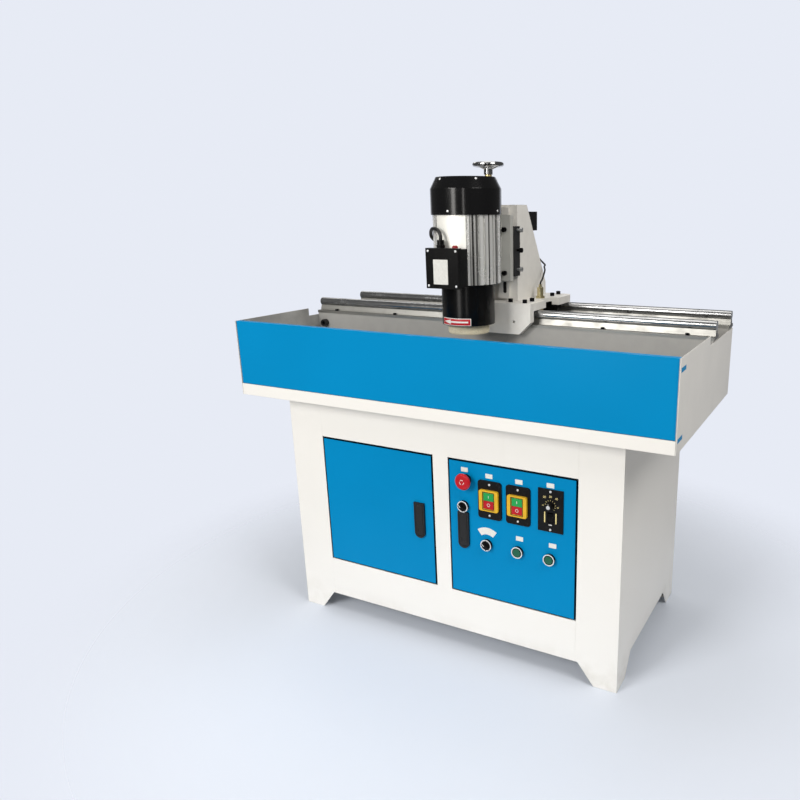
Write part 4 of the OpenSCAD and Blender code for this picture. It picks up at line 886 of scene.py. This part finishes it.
def dress(obj, body, finish):
    """Gives a finished piece its material and the body that carries it."""
    obj.data.materials.clear()
    obj.data.materials.append(FINISHES[finish])
    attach(obj, body)
    return obj


def dress_named(obj, name, body, finish):
    """Names a piece and dresses it."""
    obj.name = name
    return dress(obj, body, finish)


def front_rim(node):
    """Front, left, lower, right and upper bound of a door between its hinge pins."""
    lowest, highest, pin = *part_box(node), 10 * MM
    return lowest.y, lowest.x, lowest.z + pin, highest.x, highest.z - pin


def finish_table(c):
    """The maker of each finish and the values it takes, from the colours."""
    # A bound that lies beyond the piece, where no line of painted shadow is wanted
    no_edge = 9.0
    # Painted shadow of the gap along the lower edge of the tray's front plate
    plate_gap_shade = (low("tray_front_plate").y, -no_edge, high("tray_pan").z, no_edge, no_edge)
    # Front of the motor body's pad, which carries a painted highlight
    pad_y = mid("wheel_guard").y - 75.5 * MM

    # Blue sheet paint; the doors and the front plate also get a painted shadow of the gap along the rim
    def panel(n, rim=None):
        return sheet_paint(n, c.blue, 0.34, 0.05, 0.02, 0.05, rim)

    return {
        "cabinet_white": (cabinet_paint, c.warm_white),
        "tray_grey": (tray_paint, c.tray_white, high("tray_ends").x),
        "panel_blue": (panel,),
        "left_door_blue_gap_shaded": (panel, front_rim("left_door")),
        "right_door_blue_gap_shaded": (panel, front_rim("right_door")),
        "front_plate_blue_gap_shaded": (panel, plate_gap_shade),
        "bed_grey": (cast_paint, c.pale_grey),
        "bed_dull": (cast_paint, shade(c.pale_grey, 0.70)),
        "rail_aluminium": (drawn_metal, shade(c.aluminium, 0.72), 0, 0.36, 0.10),
        "rail_chrome": (drawn_metal, shade(c.steel, 0.88), 0, 0.15, 0.12, 0.08, 0.92),
        "dark_steel": (drawn_metal, c.dark_steel, 0, 0.38),
        "rubber_black": (moulded_plastic, c.plastic_black, 0.60, 0.16),
        "tank_steel": (zinc_sheet, c.steel),
        "pump_blue": (sheet_paint, shade(c.blue, 0.45), 0.32),
        "device_grey": (moulded_plastic, c.device_grey),
        "chuck_iron": (cast_paint, c.chuck_iron),
        "chuck_steel": (drawn_metal, c.steel, 1, 0.24, 0.20, 0.12),
        "latch_black": (moulded_plastic, c.plastic_black, 0.48, 0.14),
        "control_black": (moulded_plastic, shade(c.plastic_black, 0.7), 0.36, 0.10, 0.25),
        "rocker_black": (moulded_plastic, shade(c.plastic_black, 0.5), 0.60, 0.10, 0.1),
        "switch_yellow": (moulded_plastic, c.yellow, 0.34, 0.06),
        "stop_red": (moulded_plastic, c.red, 0.28, 0.05),
        "jog_green": (moulded_plastic, c.jog_green, 0.28, 0.05),
        "start_green": (moulded_plastic, c.green, 0.30, 0.05),
        "sensor_brass": (drawn_metal, c.brass, 2, 0.24, 0.20, 0.16, 0.9),
        "cable_black": (cable_sheath, c.plastic_black),
        "box_black": (moulded_plastic, shade(c.black, 0.7), 0.24, 0.05, 0.25),
        "gear_motor_grey": (cast_paint, c.motor_grey),
        "machined_steel": (cast_paint, c.plate_grey),
        "slide_black": (cast_paint, c.slide_black),
        "motor_aluminium": (motor_metal, c.aluminium, pad_y),
        "motor_black": (gloss_enamel, c.black),
        "guard_satin": (gloss_enamel, shade(c.black, 0.6), 0.24, 0.04, 0.28),
        "spindle_steel": (drawn_metal, c.steel, 2, 0.26),
        "wheel_cream": (abrasive, c.cream),
        "handwheel_chrome": (drawn_metal, c.steel, 2, 0.08, 0.06, 0.05),
        "screw_brass": (drawn_metal, c.screw_brass, 2, 0.28, 0.2, 0.12, 0.8),
        "black_screw": (drawn_metal, shade(c.plastic_black, 1.6), 2, 0.36, 0.2),
        "bright_screw": (drawn_metal, shade(c.steel, 1.2), 2, 0.28, 0.1, 0.08, 0.4),
        "gib_steel": (drawn_metal, c.steel, 2, 0.26, 0.1, 0.10, 0.8),
        "bezel": (drawn_metal, shade(c.steel, 1.25), 1, 0.30, 0.1, 0.08, 0.35),
        "sign_white": (printed, c.sign_white),
        "nameplate": (printed, shade(c.sign_white, 0.94)),
        "sign_red": (printed, c.red),
        "sign_gold": (printed, c.gold),
        "plug_red": (moulded_plastic, shade(c.red, 0.72), 0.40, 0.06),
    }


class GRINDER_OT_paint(bpy.types.Operator):
    """Make the finishes and give every rigid piece its own"""

    bl_idname = "grinder.paint"
    bl_label = "Paint the pieces"

    def execute(self, context):
        table = finish_table(context.scene.grinder_colours)
        worn = {}
        for entry in frame["record"]["subparts"]:
            worn[entry["node"]] = OWN_FINISH.get(entry["node"], entry["material_slot"])
        for finish in dict.fromkeys((*worn.values(), *FITTING_SLOTS)):
            maker, *values = table[finish]
            FINISHES[finish] = maker(finish, *values)
        for node, finish in worn.items():
            mesh = NODES[node].data
            mesh.materials.clear()
            mesh.materials.append(FINISHES[finish])
        return {"FINISHED"}


# Places of screws and fittings, in millimetres
RAIL_SCREW_X = (-556, -333, -111, 111, 333, 556)
RAIL_SCREW_ASIDE = (-18, 18)
RAIL_FOOT_T = 8
# From the middle and the front edge of the carriage plate
CARRIAGE_SCREWS = ((66.5, 27), (113.5, 20), (114.5, 64), (112.5, 208), (111.5, 256))
PLATE_BOLT_X = 65
PLATE_BOLT_Z = (1002, 1116)
# Rise from the foot of the head slide
GIB_KNOB_RISE = (69,)
GIB_SCREW_RISE = (18.5, 122.5)
# Count, first turn, inset from the widest radius, rise and tilt of each ring of screws, turns in degrees
COVER_SCREWS = ((4, 0, 0.3, 9, 0), (5, -113, 12.3, 86, 27))
# Screws and plate of the terminal box, across and up, and its plug
LID_SCREWS = ((-45, 984), (35, 984), (-45, 1069), (35, 1069))
LID_PLATE_X, LID_PLATE_Z = -9, 1018
PLUG_AT = (21, -170, 1076)


class GRINDER_OT_rail_screws(bpy.types.Operator):
    """Cap screws along both feet of the rail supports"""

    bl_idname = "grinder.rail_screws"
    bl_label = "Rail screws"

    def execute(self, context):
        radius = context.scene.grinder_sizes.rail_screw_r
        lowest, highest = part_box("rail_shafts")
        shaft_r = (highest.z - lowest.z) / 2
        foot_z = low("rail_supports").z + RAIL_FOOT_T * MM
        places = [
            ((x * MM, axis + aside * MM, foot_z), TOP)
            for axis in (lowest.y + shaft_r, highest.y - shaft_r)
            for x in RAIL_SCREW_X
            for aside in RAIL_SCREW_ASIDE
        ]
        dress(copies(cap_screw(radius, radius), places, "rail_screws"), "stand", "black_screw")
        return {"FINISHED"}


class GRINDER_OT_carriage_screws(bpy.types.Operator):
    """Cap screws on the carriage plate and dark clamps in the slots of the column"""

    bl_idname = "grinder.carriage_screws"
    bl_label = "Carriage screws"

    def execute(self, context):
        radius = context.scene.grinder_sizes.carriage_screw_r
        middle, front, top = mid("carriage_plate").x, low("carriage_plate").y, high("carriage_plate").z
        places = [
            ((middle + side * x * MM, front + y * MM, top), TOP)
            for side in (-1, 1)
            for x, y in CARRIAGE_SCREWS
        ]
        screws = copies(cap_screw(radius, radius * 1.45), places, "carriage_screws")
        dress(screws, "carriage", "black_screw")
        self.clamps(top)
        return {"FINISHED"}

    def clamps(self, top):
        """A strip and a washer in each slot of the column, just behind its mouth."""
        recess, slot_x, width, edge = 12.8 * MM, 46 * MM, 10.6 * MM, 0.4 * MM
        strip_h, strip_t, strip_r, strip_up = 27 * MM, 1.6 * MM, 4.6 * MM, 39 * MM
        washer_t, washer_r, washer_up = 2.2 * MM, 5.2 * MM, 27 * MM
        strip = rounded_plate(width, strip_h, strip_t, strip_r, edge)
        washer = rounded_plate(width, width, washer_t, washer_r, edge, 10)
        column, back = mid("column").x, high("head_slide").y - recess
        made = []
        for piece, up, name in ((strip, strip_up, "column_strips"), (washer, washer_up, "column_washers")):
            places = [((column + side * slot_x, back, top + up), FRONT) for side in (-1, 1)]
            made.append(copies(piece, places, name))
        dress(joined(made, "column_clamps"), "carriage", "rubber_black")


class GRINDER_OT_head_screws(bpy.types.Operator):
    """Motor plate bolts, gib screws, and screws of the fan cover and the terminal lid"""

    bl_idname = "grinder.head_screws"
    bl_label = "Head screws"

    def execute(self, context):
        sizes = context.scene.grinder_sizes
        middle, front = mid("motor_plate").x, low("motor_plate").y
        bolts = [
            ((middle + side * PLATE_BOLT_X * MM, front, z * MM), FRONT)
            for side in (-1, 1)
            for z in PLATE_BOLT_Z
        ]
        bolt = cap_screw(sizes.plate_screw_r * 0.9, sizes.plate_screw_r)
        dress(copies(bolt, bolts, "motor_plate_bolts"), "head", "black_screw")
        radius, neck = sizes.gib_screw_r, 9 * MM
        slide = Vector((high("head_slide").x, mid("head_slide").y, low("head_slide").z))
        for name, rises, finish, slot in (
            ("gib_knob", GIB_KNOB_RISE, "black_screw", "slide_black"),
            ("gib_screws", GIB_SCREW_RISE, "gib_steel", "spindle_steel"),
        ):
            gib = necked_screw(radius, radius, radius * 0.55, neck)
            gibs = [(slide + Vector(TOP) * rise * MM, RIGHT) for rise in rises]
            dress(copies(gib, gibs, name), "head", finish)
        places = self.cover_places() + [
            ((x * MM, low("terminal_box").y, z * MM), FRONT) for x, z in LID_SCREWS
        ]
        small = copies(pan_screw(sizes.small_screw_r), places, "head_small_screws")
        dress(small, "head", "bright_screw")
        return {"FINISHED"}

    def cover_places(self):
        """Place and direction of each screw of the fan cover."""
        lowest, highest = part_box("fan_cover")
        axis, radius = mid("fan_cover"), (highest.x - lowest.x) / 2
        places = []
        for count, first, inset, rise, tilt in COVER_SCREWS:
            lift = math.radians(tilt)
            for k in range(count):
                turn = math.radians(first + 360 / count * k)
                out = Vector((math.cos(turn), math.sin(turn), 0.0))
                place = Vector((axis.x, axis.y, lowest.z + rise * MM)) + out * (radius - inset * MM)
                places.append((place, out * math.cos(lift) + Vector(TOP) * math.sin(lift)))
        return places


class GRINDER_OT_head_signs(bpy.types.Operator):
    """Bare plate and red plug of the terminal box, and the turning arrow on the guard"""

    bl_idname = "grinder.head_signs"
    bl_label = "Head plates"

    def execute(self, context):
        sizes = context.scene.grinder_sizes
        plate_w, plate_h, corner = 42 * MM, 61 * MM, 1.2 * MM
        plate = rounded_plate(plate_w, plate_h, sizes.tag_t, corner)
        moved(plate, (LID_PLATE_X * MM, low("terminal_box").y, LID_PLATE_Z * MM), FRONT)
        dress_named(plate, "terminal_plate", "head", "nameplate")
        self.plug(sizes.plug_r)
        self.guard_sign(sizes.tag_t / 2, sizes.sign_h)
        return {"FINISHED"}

    def plug(self, radius):
        """Blanking plug in the lid of the terminal box, with a rounded rim and a dished face."""
        depth, rim, wall, dish = 12 * MM, 4 * MM, 1.5 * MM, 0.8 * MM
        clear_selection()
        bpy.ops.mesh.primitive_cylinder_add(vertices=32, radius=radius, depth=depth)
        plug = bpy.context.object
        pick(plug, lambda c, d: c.z > depth * 0.4 and abs(d.z) < 0.1, "EDGE")
        bpy.ops.mesh.bevel(offset=rim, segments=5)
        pick(plug, lambda c, n: n.z > 0.99)
        bpy.ops.mesh.inset(thickness=wall, depth=-dish)
        bpy.ops.object.mode_set(mode="OBJECT")
        moved(plug, Vector(PLUG_AT) * MM)
        done(plug, "terminal_plug")
        smooth(plug)
        dress(plug, "head", "plug_red")

    def guard_sign(self, thin, height):
        """White edge, red field and white arrow, one over the other on the drum of the guard."""
        lowest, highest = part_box("wheel_guard")
        axis, radius = mid("wheel_guard"), (highest.x - lowest.x) / 2
        middle, border, arrow_w, arrow_h = lowest.z + 11 * MM, 1.5 * MM, 76 * MM, 12 * MM
        turn, sweep, field_sweep = -92.0, 74.0, 70.8
        field_h = height - 2 * border
        edge = wrapped_plate(radius, turn, sweep, middle - height / 2, height, thin)
        field = wrapped_plate(radius + thin, turn, field_sweep, middle - field_h / 2, field_h, thin)
        arrow = bent_round(arrow_outline(arrow_w, arrow_h, thin), radius + 2 * thin, turn, middle)
        for piece, name, finish in (
            (edge, "guard_sign_edge", "sign_white"),
            (field, "guard_sign_field", "sign_red"),
            (arrow, "guard_sign_arrow", "sign_white"),
        ):
            piece.data.transform(Matrix.Translation((axis.x, axis.y, 0.0)))
            dress_named(piece, name, "head", finish)


# Routes of the cables, in millimetres from the sensor's top, and from the motor's axis at the body's foot
SENSOR_ROUTE = (
    (0, 0, 0), (0, 2, 5), (0, 11, 11), (-1, 21, 19), (-4, 34, 26.5), (-7, 45, 32), (-11, 56, 37),
    (-17, 66, 42), (-22, 76, 44.5), (-26, 90.5, 48), (-33, 97, 52), (-42, 97, 60), (-49, 90, 71),
    (-53, 79, 86), (-54, 68, 101), (-55, 57, 118), (-55, 46, 133), (-55, 37, 142), (-55, 34, 149),
)
MOTOR_ROUTE = (
    (-15, -104, 113), (-15, -104, 121), (-18, -103, 130), (-26, -100, 137), (-38, -94, 140), (-51, -84, 139),
    (-64, -70, 134), (-75, -55, 127), (-84, -39, 119), (-90, -21, 112), (-92.5, 0, 106), (-92, 22, 102),
    (-91, 46, 100), (-91, 72, 99), (-91, 90, 99), (-91, 106, 99),
)


class GRINDER_OT_cables(bpy.types.Operator):
    """The sensor cable and the motor lead, each one smooth length from end to end"""

    bl_idname = "grinder.cables"
    bl_label = "Cables"

    def execute(self, context):
        sizes = context.scene.grinder_sizes
        sensor_at = Vector((mid("sensor").x, mid("sensor").y, high("sensor").z))
        motor_at = Vector((mid("motor_body").x, mid("wheel_guard").y, low("motor_body").z))
        for name, body, start, route, radius in (
            ("sensor_cable", "carriage", sensor_at, SENSOR_ROUTE, sizes.sensor_cable_r),
            ("motor_lead", "head", motor_at, MOTOR_ROUTE, sizes.motor_lead_r),
        ):
            points = [start + Vector(place) * MM for place in route]
            cable = swept_cable(points, radius, name + "_smooth")
            dress(cable, body, "cable_black")
            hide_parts(name)
            path_length(points)
            2 * radius
        return {"FINISHED"}


KEY_MARK_T = 0.4 * MM
DIAL_PLATE_T = 3 * MM
# Figure, height, and place from the middle of the knob, in millimetres
DIAL_FIGURES = (
    ("10", 5, -20, -2), ("20", 8, -16, 20), ("30", 8, 0, 23), ("40", 8, 16, 20), ("50", 5, 20, -2),
)
DIAL_SWEEP = 270
# Places of the bare tags across and up the door, in millimetres
TAG_PLACES = ((76, 528), (147, 521), (231, 520), (316, 525), (232, 367), (323, 367))


def dial_front():
    """Front of the speed dial's plate, which stands off the door."""
    return low("right_door").y - DIAL_PLATE_T


def key_gap_shadow(lowest, highest, width, thickness):
    """Four thin dark bars on the switch frame round a pair of keys, clear of their gap: a painted shadow of
    the gap round the keys.
    """
    front, gap = low("switch_frames").y, 1.0 * MM
    middle, size = (lowest + highest) / 2, highest - lowest
    bars = []
    for side in (-1, 1):
        upright = bar(width, size.z + 2 * gap, thickness)
        cross = bar(size.x + 2 * gap + 2 * width, width, thickness)
        x, z = (middle[i] + side * (size[i] / 2 + gap + width / 2) for i in (0, 2))
        bars.append(moved(upright, (x, front, middle.z), FRONT))
        bars.append(moved(cross, (middle.x, front, z), FRONT))
    return bars


class GRINDER_OT_round_controls(bpy.types.Operator):
    """Bright bezels, pointers of the selectors and turning arrows on the mushroom button"""

    bl_idname = "grinder.round_controls"
    bl_label = "Round controls"

    def execute(self, context):
        sizes = context.scene.grinder_sizes
        ring_t, line_w, line_h, line_up = 0.8 * MM, 1.6 * MM, 8 * MM, 5.5 * MM
        arrow_w, arrow_h, arrow_r = 9 * MM, 3 * MM, 6 * MM
        front = low("control_collars").y
        ringed = ("selector_power", "selector_coolant", "jog_button_left", "jog_button_right")
        rings = [((mid(node).x, front, mid(node).z), FRONT) for node in ringed]
        ring = collar_ring(sizes.bezel_r - sizes.bezel_lip, sizes.bezel_r, ring_t)
        dress(copies(ring, rings, "control_bezels"), "right_door", "bezel")
        for node, body in (("selector_power", "power_selector"), ("selector_coolant", "coolant_selector")):
            line = on_face(node, bar(line_w, line_h, KEY_MARK_T), line_up, math.radians(-45))
            dress_named(line, node + "_pointer", body, "sign_white")
        arrows = []
        for k in range(3):
            arrow = bent_flat(arrow_outline(arrow_w, arrow_h, sizes.mark_t), arrow_r)
            arrows.append(on_face("estop_button", arrow, 0.0, math.radians(120 * k)))
        dress(joined(arrows, "estop_arrows"), "estop", "sign_white")
        return {"FINISHED"}


class GRINDER_OT_switches(bpy.types.Operator):
    """Marks of the switch keys, dark bars of painted shadow round them, and the screws of the control plates
    """

    bl_idname = "grinder.switches"
    bl_label = "Switches"

    def execute(self, context):
        sizes = context.scene.grinder_sizes
        plate_front = low("control_plates").y
        plate_screw_z, dial_screw_z = (-42, 42), (-64, 36)
        stroke_w, stroke_h, loop_in, loop_out = 1.4 * MM, 7 * MM, 3.4 * MM, 4.4 * MM
        places, gap_shadows = [], []
        for pair in ("wheel", "travel"):
            on, off = pair + "_start", pair + "_stop"
            stroke = on_face(on, bar(stroke_w, stroke_h, KEY_MARK_T))
            dress_named(stroke, on + "_mark", on + "_key", "sign_white")
            loop = on_face(off, collar_ring(loop_in, loop_out, KEY_MARK_T, 32))
            dress_named(loop, off + "_mark", off + "_key", "sign_white")
            middle = (mid(on) + mid(off)) / 2
            # Dark bars of painted shadow round each pair of keys
            gap_shadows += key_gap_shadow(low(off), high(on), sizes.gap_shadow_w, sizes.mark_t)
            places += [((middle.x, plate_front, middle.z + up * MM), FRONT) for up in plate_screw_z]
        knob = mid("speed_knob")
        places += [((knob.x, dial_front(), knob.z + up * MM), FRONT) for up in dial_screw_z]
        dress(copies(pan_screw(sizes.small_screw_r), places, "control_screws"), "right_door", "bright_screw")
        # The painted shadow bars take the black rubber finish
        dress(joined(gap_shadows, "key_gap_shadows"), "right_door", "rubber_black")
        return {"FINISHED"}


class GRINDER_OT_speed_dial(bpy.types.Operator):
    """Marks and figures round the speed knob, its pointer, and the bars beside the rocker"""

    bl_idname = "grinder.speed_dial"
    bl_label = "Speed dial"

    def execute(self, context):
        sizes = context.scene.grinder_sizes
        front, thin, steps = dial_front(), sizes.mark_t, sizes.dial_marks - 1
        mark_h, mark_reach = 3 * MM, 13.5 * MM
        bar_w, bar_h, bar_aside = 3 * MM, 28 * MM, 15 * MM
        dash_w, dash_h, dash_down = 9 * MM, 2.4 * MM, 19 * MM
        cap_w, cap_t, cap_r = 10 * MM, 0.5 * MM, 4.9 * MM
        pointer_w, pointer_h, pointer_up = 1.2 * MM, 3.4 * MM, 7.2 * MM
        controls = ("speed_knob", "direction_toggle")
        knob, rocker = (Vector((mid(node).x, front, mid(node).z)) for node in controls)
        marks = []
        for i in range(sizes.dial_marks):
            turn = math.radians(DIAL_SWEEP * (i / steps - 0.5))
            out = Vector((math.sin(turn), 0.0, math.cos(turn)))
            marks.append(moved(bar(sizes.mark_w, mark_h, thin), knob + out * mark_reach, FRONT, -turn))
        for figure, tall, x, z in DIAL_FIGURES:
            marks.append(moved(written(figure, tall * MM, thin), knob + Vector((x, 0, z)) * MM, FRONT))
        for side in (-1, 1):
            marks.append(moved(bar(bar_w, bar_h, thin), rocker + Vector(RIGHT) * side * bar_aside, FRONT))
        dress(joined(marks, "speed_dial_marks"), "right_door", "sign_gold")
        dash = moved(bar(dash_w, dash_h, thin), rocker - Vector(TOP) * dash_down, FRONT)
        dress_named(dash, "rocker_dash", "right_door", "sign_white")
        cap = on_face("speed_knob", rounded_plate(cap_w, cap_w, cap_t, cap_r, segments=10))
        dress_named(cap, "speed_knob_cap", "speed_dial", "bright_screw")
        pointer = on_face("speed_knob", bar(pointer_w, pointer_h, thin), pointer_up)
        dress_named(pointer, "speed_knob_pointer", "speed_dial", "sign_white")
        return {"FINISHED"}


class GRINDER_OT_tags(bpy.types.Operator):
    """Bare tags over the controls and the arc over the coolant selector"""

    bl_idname = "grinder.tags"
    bl_label = "Tags"

    def execute(self, context):
        sizes = context.scene.grinder_sizes
        door, thin, corner = low("right_door").y, sizes.tag_t, 1.0 * MM
        arc_r, arc_h, arc_sweep = 37 * MM, 19 * MM, 74
        tags = []
        for x, z in TAG_PLACES:
            tag = rounded_plate(sizes.tag_w, sizes.tag_h, thin, corner)
            tags.append(moved(tag, (x * MM, door, z * MM), FRONT))

        def on_arc(x, y):
            turn, reach = math.radians(x * arc_sweep), arc_r + y * arc_h
            return reach * math.sin(turn), reach * math.cos(turn), 0.0

        arc = curled_grid(20, on_arc)
        modify(arc, "SOLIDIFY", thickness=thin, offset=1.0)
        modify(arc, "BEVEL", width=thin * 0.3, segments=2, limit_method="ANGLE")
        tags.append(moved(arc, (mid("selector_coolant").x, door, mid("selector_coolant").z), FRONT))
        dress(joined(tags, "control_tags"), "right_door", "sign_white")
        return {"FINISHED"}


class GRINDER_OT_chuck_strips(bpy.types.Operator):
    """Brass dividers in the grooves of the magnetic chuck"""

    bl_idname = "grinder.chuck_strips"
    bl_label = "Chuck dividers"

    def execute(self, context):
        lowest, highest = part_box("magnet_chuck")
        pitch, margin, play = 25 * MM, 16 * MM, 0.1 * MM
        width, thick, corner, edge = 2.9 * MM, 1.3 * MM, 0.3 * MM, 0.15 * MM
        middle, size, groove = (lowest + highest) / 2, highest - lowest, 1.5 * MM
        count = math.floor((size.x - 2 * margin) / pitch + 1e-6)
        places = [
            ((middle.x + (i - count / 2) * pitch, middle.y, highest.z - groove), TOP)
            for i in range(count + 1)
        ]
        strip = rounded_plate(width, size.y - 2 * (margin + play), thick, corner, edge, 2)
        dress(copies(strip, places, "chuck_dividers"), "chuck", "screw_brass")
        return {"FINISHED"}


SKY_TINT = (1.0, 0.98, 0.95, 1.0)
LAMP_TINT = (1.0, 0.975, 0.94)
# Width of the camera's sensor, in millimetres
SENSOR_W = 36.0


class GRINDER_OT_studio(bpy.types.Operator):
    """Pale floor that fades into the backdrop, soft lights and the camera"""

    bl_idname = "grinder.studio"
    bl_label = "Studio"

    def execute(self, context):
        scene, studio = context.scene, context.scene.grinder_studio
        self.surroundings(scene, linear(scene.grinder_colours.backdrop), studio)
        strip = studio.strip_light
        lamps = (
            ("key_light", (-1.1, -3.5, 2.4), (0.0, 0.0, 0.75), (1.6, 1.6), studio.key_light),
            ("fill_light", (2.0, -0.9, 2.5), (0.3, 0.0, 1.3), (1.2, 1.2), studio.fill_light),
            ("top_light", (-0.3, 0.2, 3.3), (0.0, 0.0, 0.6), (2.2, 1.4), studio.top_light),
            ("left_strip", (-0.53, -3.02, 1.25), (0.0, -0.07, 1.2), (0.60, 2.0), strip),
            ("middle_strip", (1.12, -2.85, 1.25), (0.0, -0.07, 1.2), (0.16, 2.0), strip * 0.25),
            ("rail_strip", (-2.9, 2.0, 3.2), (-0.4, 0.1, 0.86), (2.2, 0.9), strip * 0.9),
        )
        lamps = [self.softbox(*lamp) for lamp in lamps]
        scene.camera = self.camera(studio)
        floor = self.floor(linear(scene.grinder_colours.floor), studio.floor_fade)
        scene.view_settings.view_transform = "Standard"
        return {"FINISHED"}

    def floor(self, shown, fade):
        """Round floor, lit near the machine and clear further out."""
        radius, border, drop = 6.0, 3.0, 0.5 * MM
        clear_selection()
        bpy.ops.mesh.primitive_circle_add(
            vertices=96, radius=radius, fill_type="NGON", location=(0.0, 0.0, -drop)
        )
        floor = bpy.context.object
        pick(floor, lambda c, n: True)
        bpy.ops.mesh.inset(thickness=border, depth=0.0)
        done(floor, "studio_floor")
        r = Recipe("studio_floor")
        x, y = r.axis("X"), r.axis("Y")
        reach = (x * x + y * y) ** 0.5
        lit = Value(r, r.set(Base_Color=shown, Roughness=0.9, Specular_IOR_Level=0.1).shader.outputs[0])
        clear = r.node("ShaderNodeBsdfTransparent", {}, {})
        blend = r.node("ShaderNodeMixShader", {}, {0: reach.fade(*fade), 1: lit, 2: clear})
        r.feed(r.tree.nodes["Material Output"].inputs[0], blend)
        floor.data.materials.append(r.material)
        return floor

    def surroundings(self, scene, shown, studio):
        """Even backdrop for the camera and for reflections from behind, and soft room light."""
        scene.world = bpy.data.worlds.new("studio_world")
        scene.world.use_nodes = True
        room = Nodes(scene.world.node_tree)
        heading = room.node("ShaderNodeTexCoord", {}, {}, "Generated")
        sockets = {0: heading, 1: self.ahead(studio)}
        toward = room.node("ShaderNodeVectorMath", {"operation": "DOT_PRODUCT"}, sockets, "Value")
        behind = room.node("ShaderNodeMapRange", {}, {0: toward, 1: studio.behind[0], 2: studio.behind[1]})
        mirrored = room.mix(behind, (*studio.dark, 1.0), shown)
        light = room.node("ShaderNodeBackground", {}, {0: SKY_TINT, 1: studio.sky})
        for ray, seen in (
            ("Is Glossy Ray", mirrored),
            ("Is Transmission Ray", shown),
            ("Is Camera Ray", shown),
        ):
            chosen = room.node("ShaderNodeLightPath", {}, {}, ray)
            plain = room.node("ShaderNodeBackground", {}, {0: seen})
            light = room.node("ShaderNodeMixShader", {}, {0: chosen, 1: light, 2: plain})
        room.feed(room.tree.nodes["World Output"].inputs[0], light)

    def softbox(self, name, place, target, size, watts):
        """Rectangular area light that faces a point."""
        data = bpy.data.lights.new(name, "AREA")
        data.shape = "RECTANGLE"
        data.size, data.size_y = size
        data.energy = watts
        data.color = LAMP_TINT
        lamp = bpy.data.objects.new(name, data)
        turn = (Vector(target) - Vector(place)).to_track_quat("-Z", "Y").to_matrix().to_4x4()
        lamp.matrix_world = Matrix.Translation(Vector(place)) @ turn
        bpy.context.scene.collection.objects.link(lamp)
        return lamp

    def ahead(self, studio):
        """Direction in which the camera looks."""
        yaw, pitch = math.radians(studio.yaw), math.radians(studio.pitch)
        return Vector((math.sin(yaw) * math.cos(pitch), math.cos(yaw) * math.cos(pitch), math.sin(pitch)))

    def camera(self, studio):
        """Camera of the photograph's framing."""
        yaw, roll, ahead = math.radians(studio.yaw), math.radians(studio.roll), self.ahead(studio)
        side = Vector((math.cos(yaw), -math.sin(yaw), 0.0))
        rise = side.cross(ahead)
        right = side * math.cos(roll) + rise * math.sin(roll)
        upward = rise * math.cos(roll) - side * math.sin(roll)
        turn = Matrix((right, upward, -ahead)).transposed().to_4x4()
        data = bpy.data.cameras.new("camera")
        data.sensor_width = SENSOR_W
        data.lens = studio.lens
        data.shift_x, data.shift_y = studio.shift
        camera = bpy.data.objects.new("camera", data)
        camera.matrix_world = Matrix.Translation(Vector(studio.eye)) @ turn
        bpy.context.scene.collection.objects.link(camera)
        return camera


class GRINDER_PT_panel(bpy.types.Panel):
    """Colours, sizes and studio of the grinder, and the steps that build it"""

    bl_idname = "GRINDER_PT_panel"
    bl_label = "Planer Knife Grinder"
    bl_space_type = "VIEW_3D"
    bl_region_type = "UI"
    bl_category = "Grinder"

    def draw(self, context):
        layout = self.layout
        for group in GROUPS:
            holder = getattr(context.scene, group)
            column = layout.column(align=True)
            for key in holder.__annotations__:
                column.prop(holder, key)
        for operator in STEPS:
            layout.operator(operator.bl_idname)


GROUPS = {
    "grinder_colours": GrinderColours,
    "grinder_sizes": GrinderSizes,
    "grinder_studio": GrinderStudio,
}
STEPS = (
    GRINDER_OT_paint,
    GRINDER_OT_rail_screws,
    GRINDER_OT_carriage_screws,
    GRINDER_OT_head_screws,
    GRINDER_OT_head_signs,
    GRINDER_OT_cables,
    GRINDER_OT_round_controls,
    GRINDER_OT_switches,
    GRINDER_OT_speed_dial,
    GRINDER_OT_tags,
    GRINDER_OT_chuck_strips,
    GRINDER_OT_studio,
)


def register():
    """Registers the classes and hangs the property groups on the scene."""
    for cls in (*GROUPS.values(), *STEPS, GRINDER_PT_panel):
        bpy.utils.register_class(cls)
    for name, cls in GROUPS.items():
        setattr(bpy.types.Scene, name, PointerProperty(type=cls))


def unregister():
    """Takes the property groups and the classes away again."""
    for name in GROUPS:
        delattr(bpy.types.Scene, name)
    for cls in reversed((*GROUPS.values(), *STEPS, GRINDER_PT_panel)):
        bpy.utils.unregister_class(cls)


def main():
    """Builds the whole scene."""
    register()
    bpy.ops.grinder.paint()
    bpy.ops.grinder.rail_screws()
    bpy.ops.grinder.carriage_screws()
    bpy.ops.grinder.head_screws()
    bpy.ops.grinder.head_signs()
    bpy.ops.grinder.cables()
    bpy.ops.grinder.round_controls()
    bpy.ops.grinder.switches()
    bpy.ops.grinder.speed_dial()
    bpy.ops.grinder.tags()
    bpy.ops.grinder.chuck_strips()
    bpy.ops.grinder.studio()


if __name__ == "__main__":
    main()
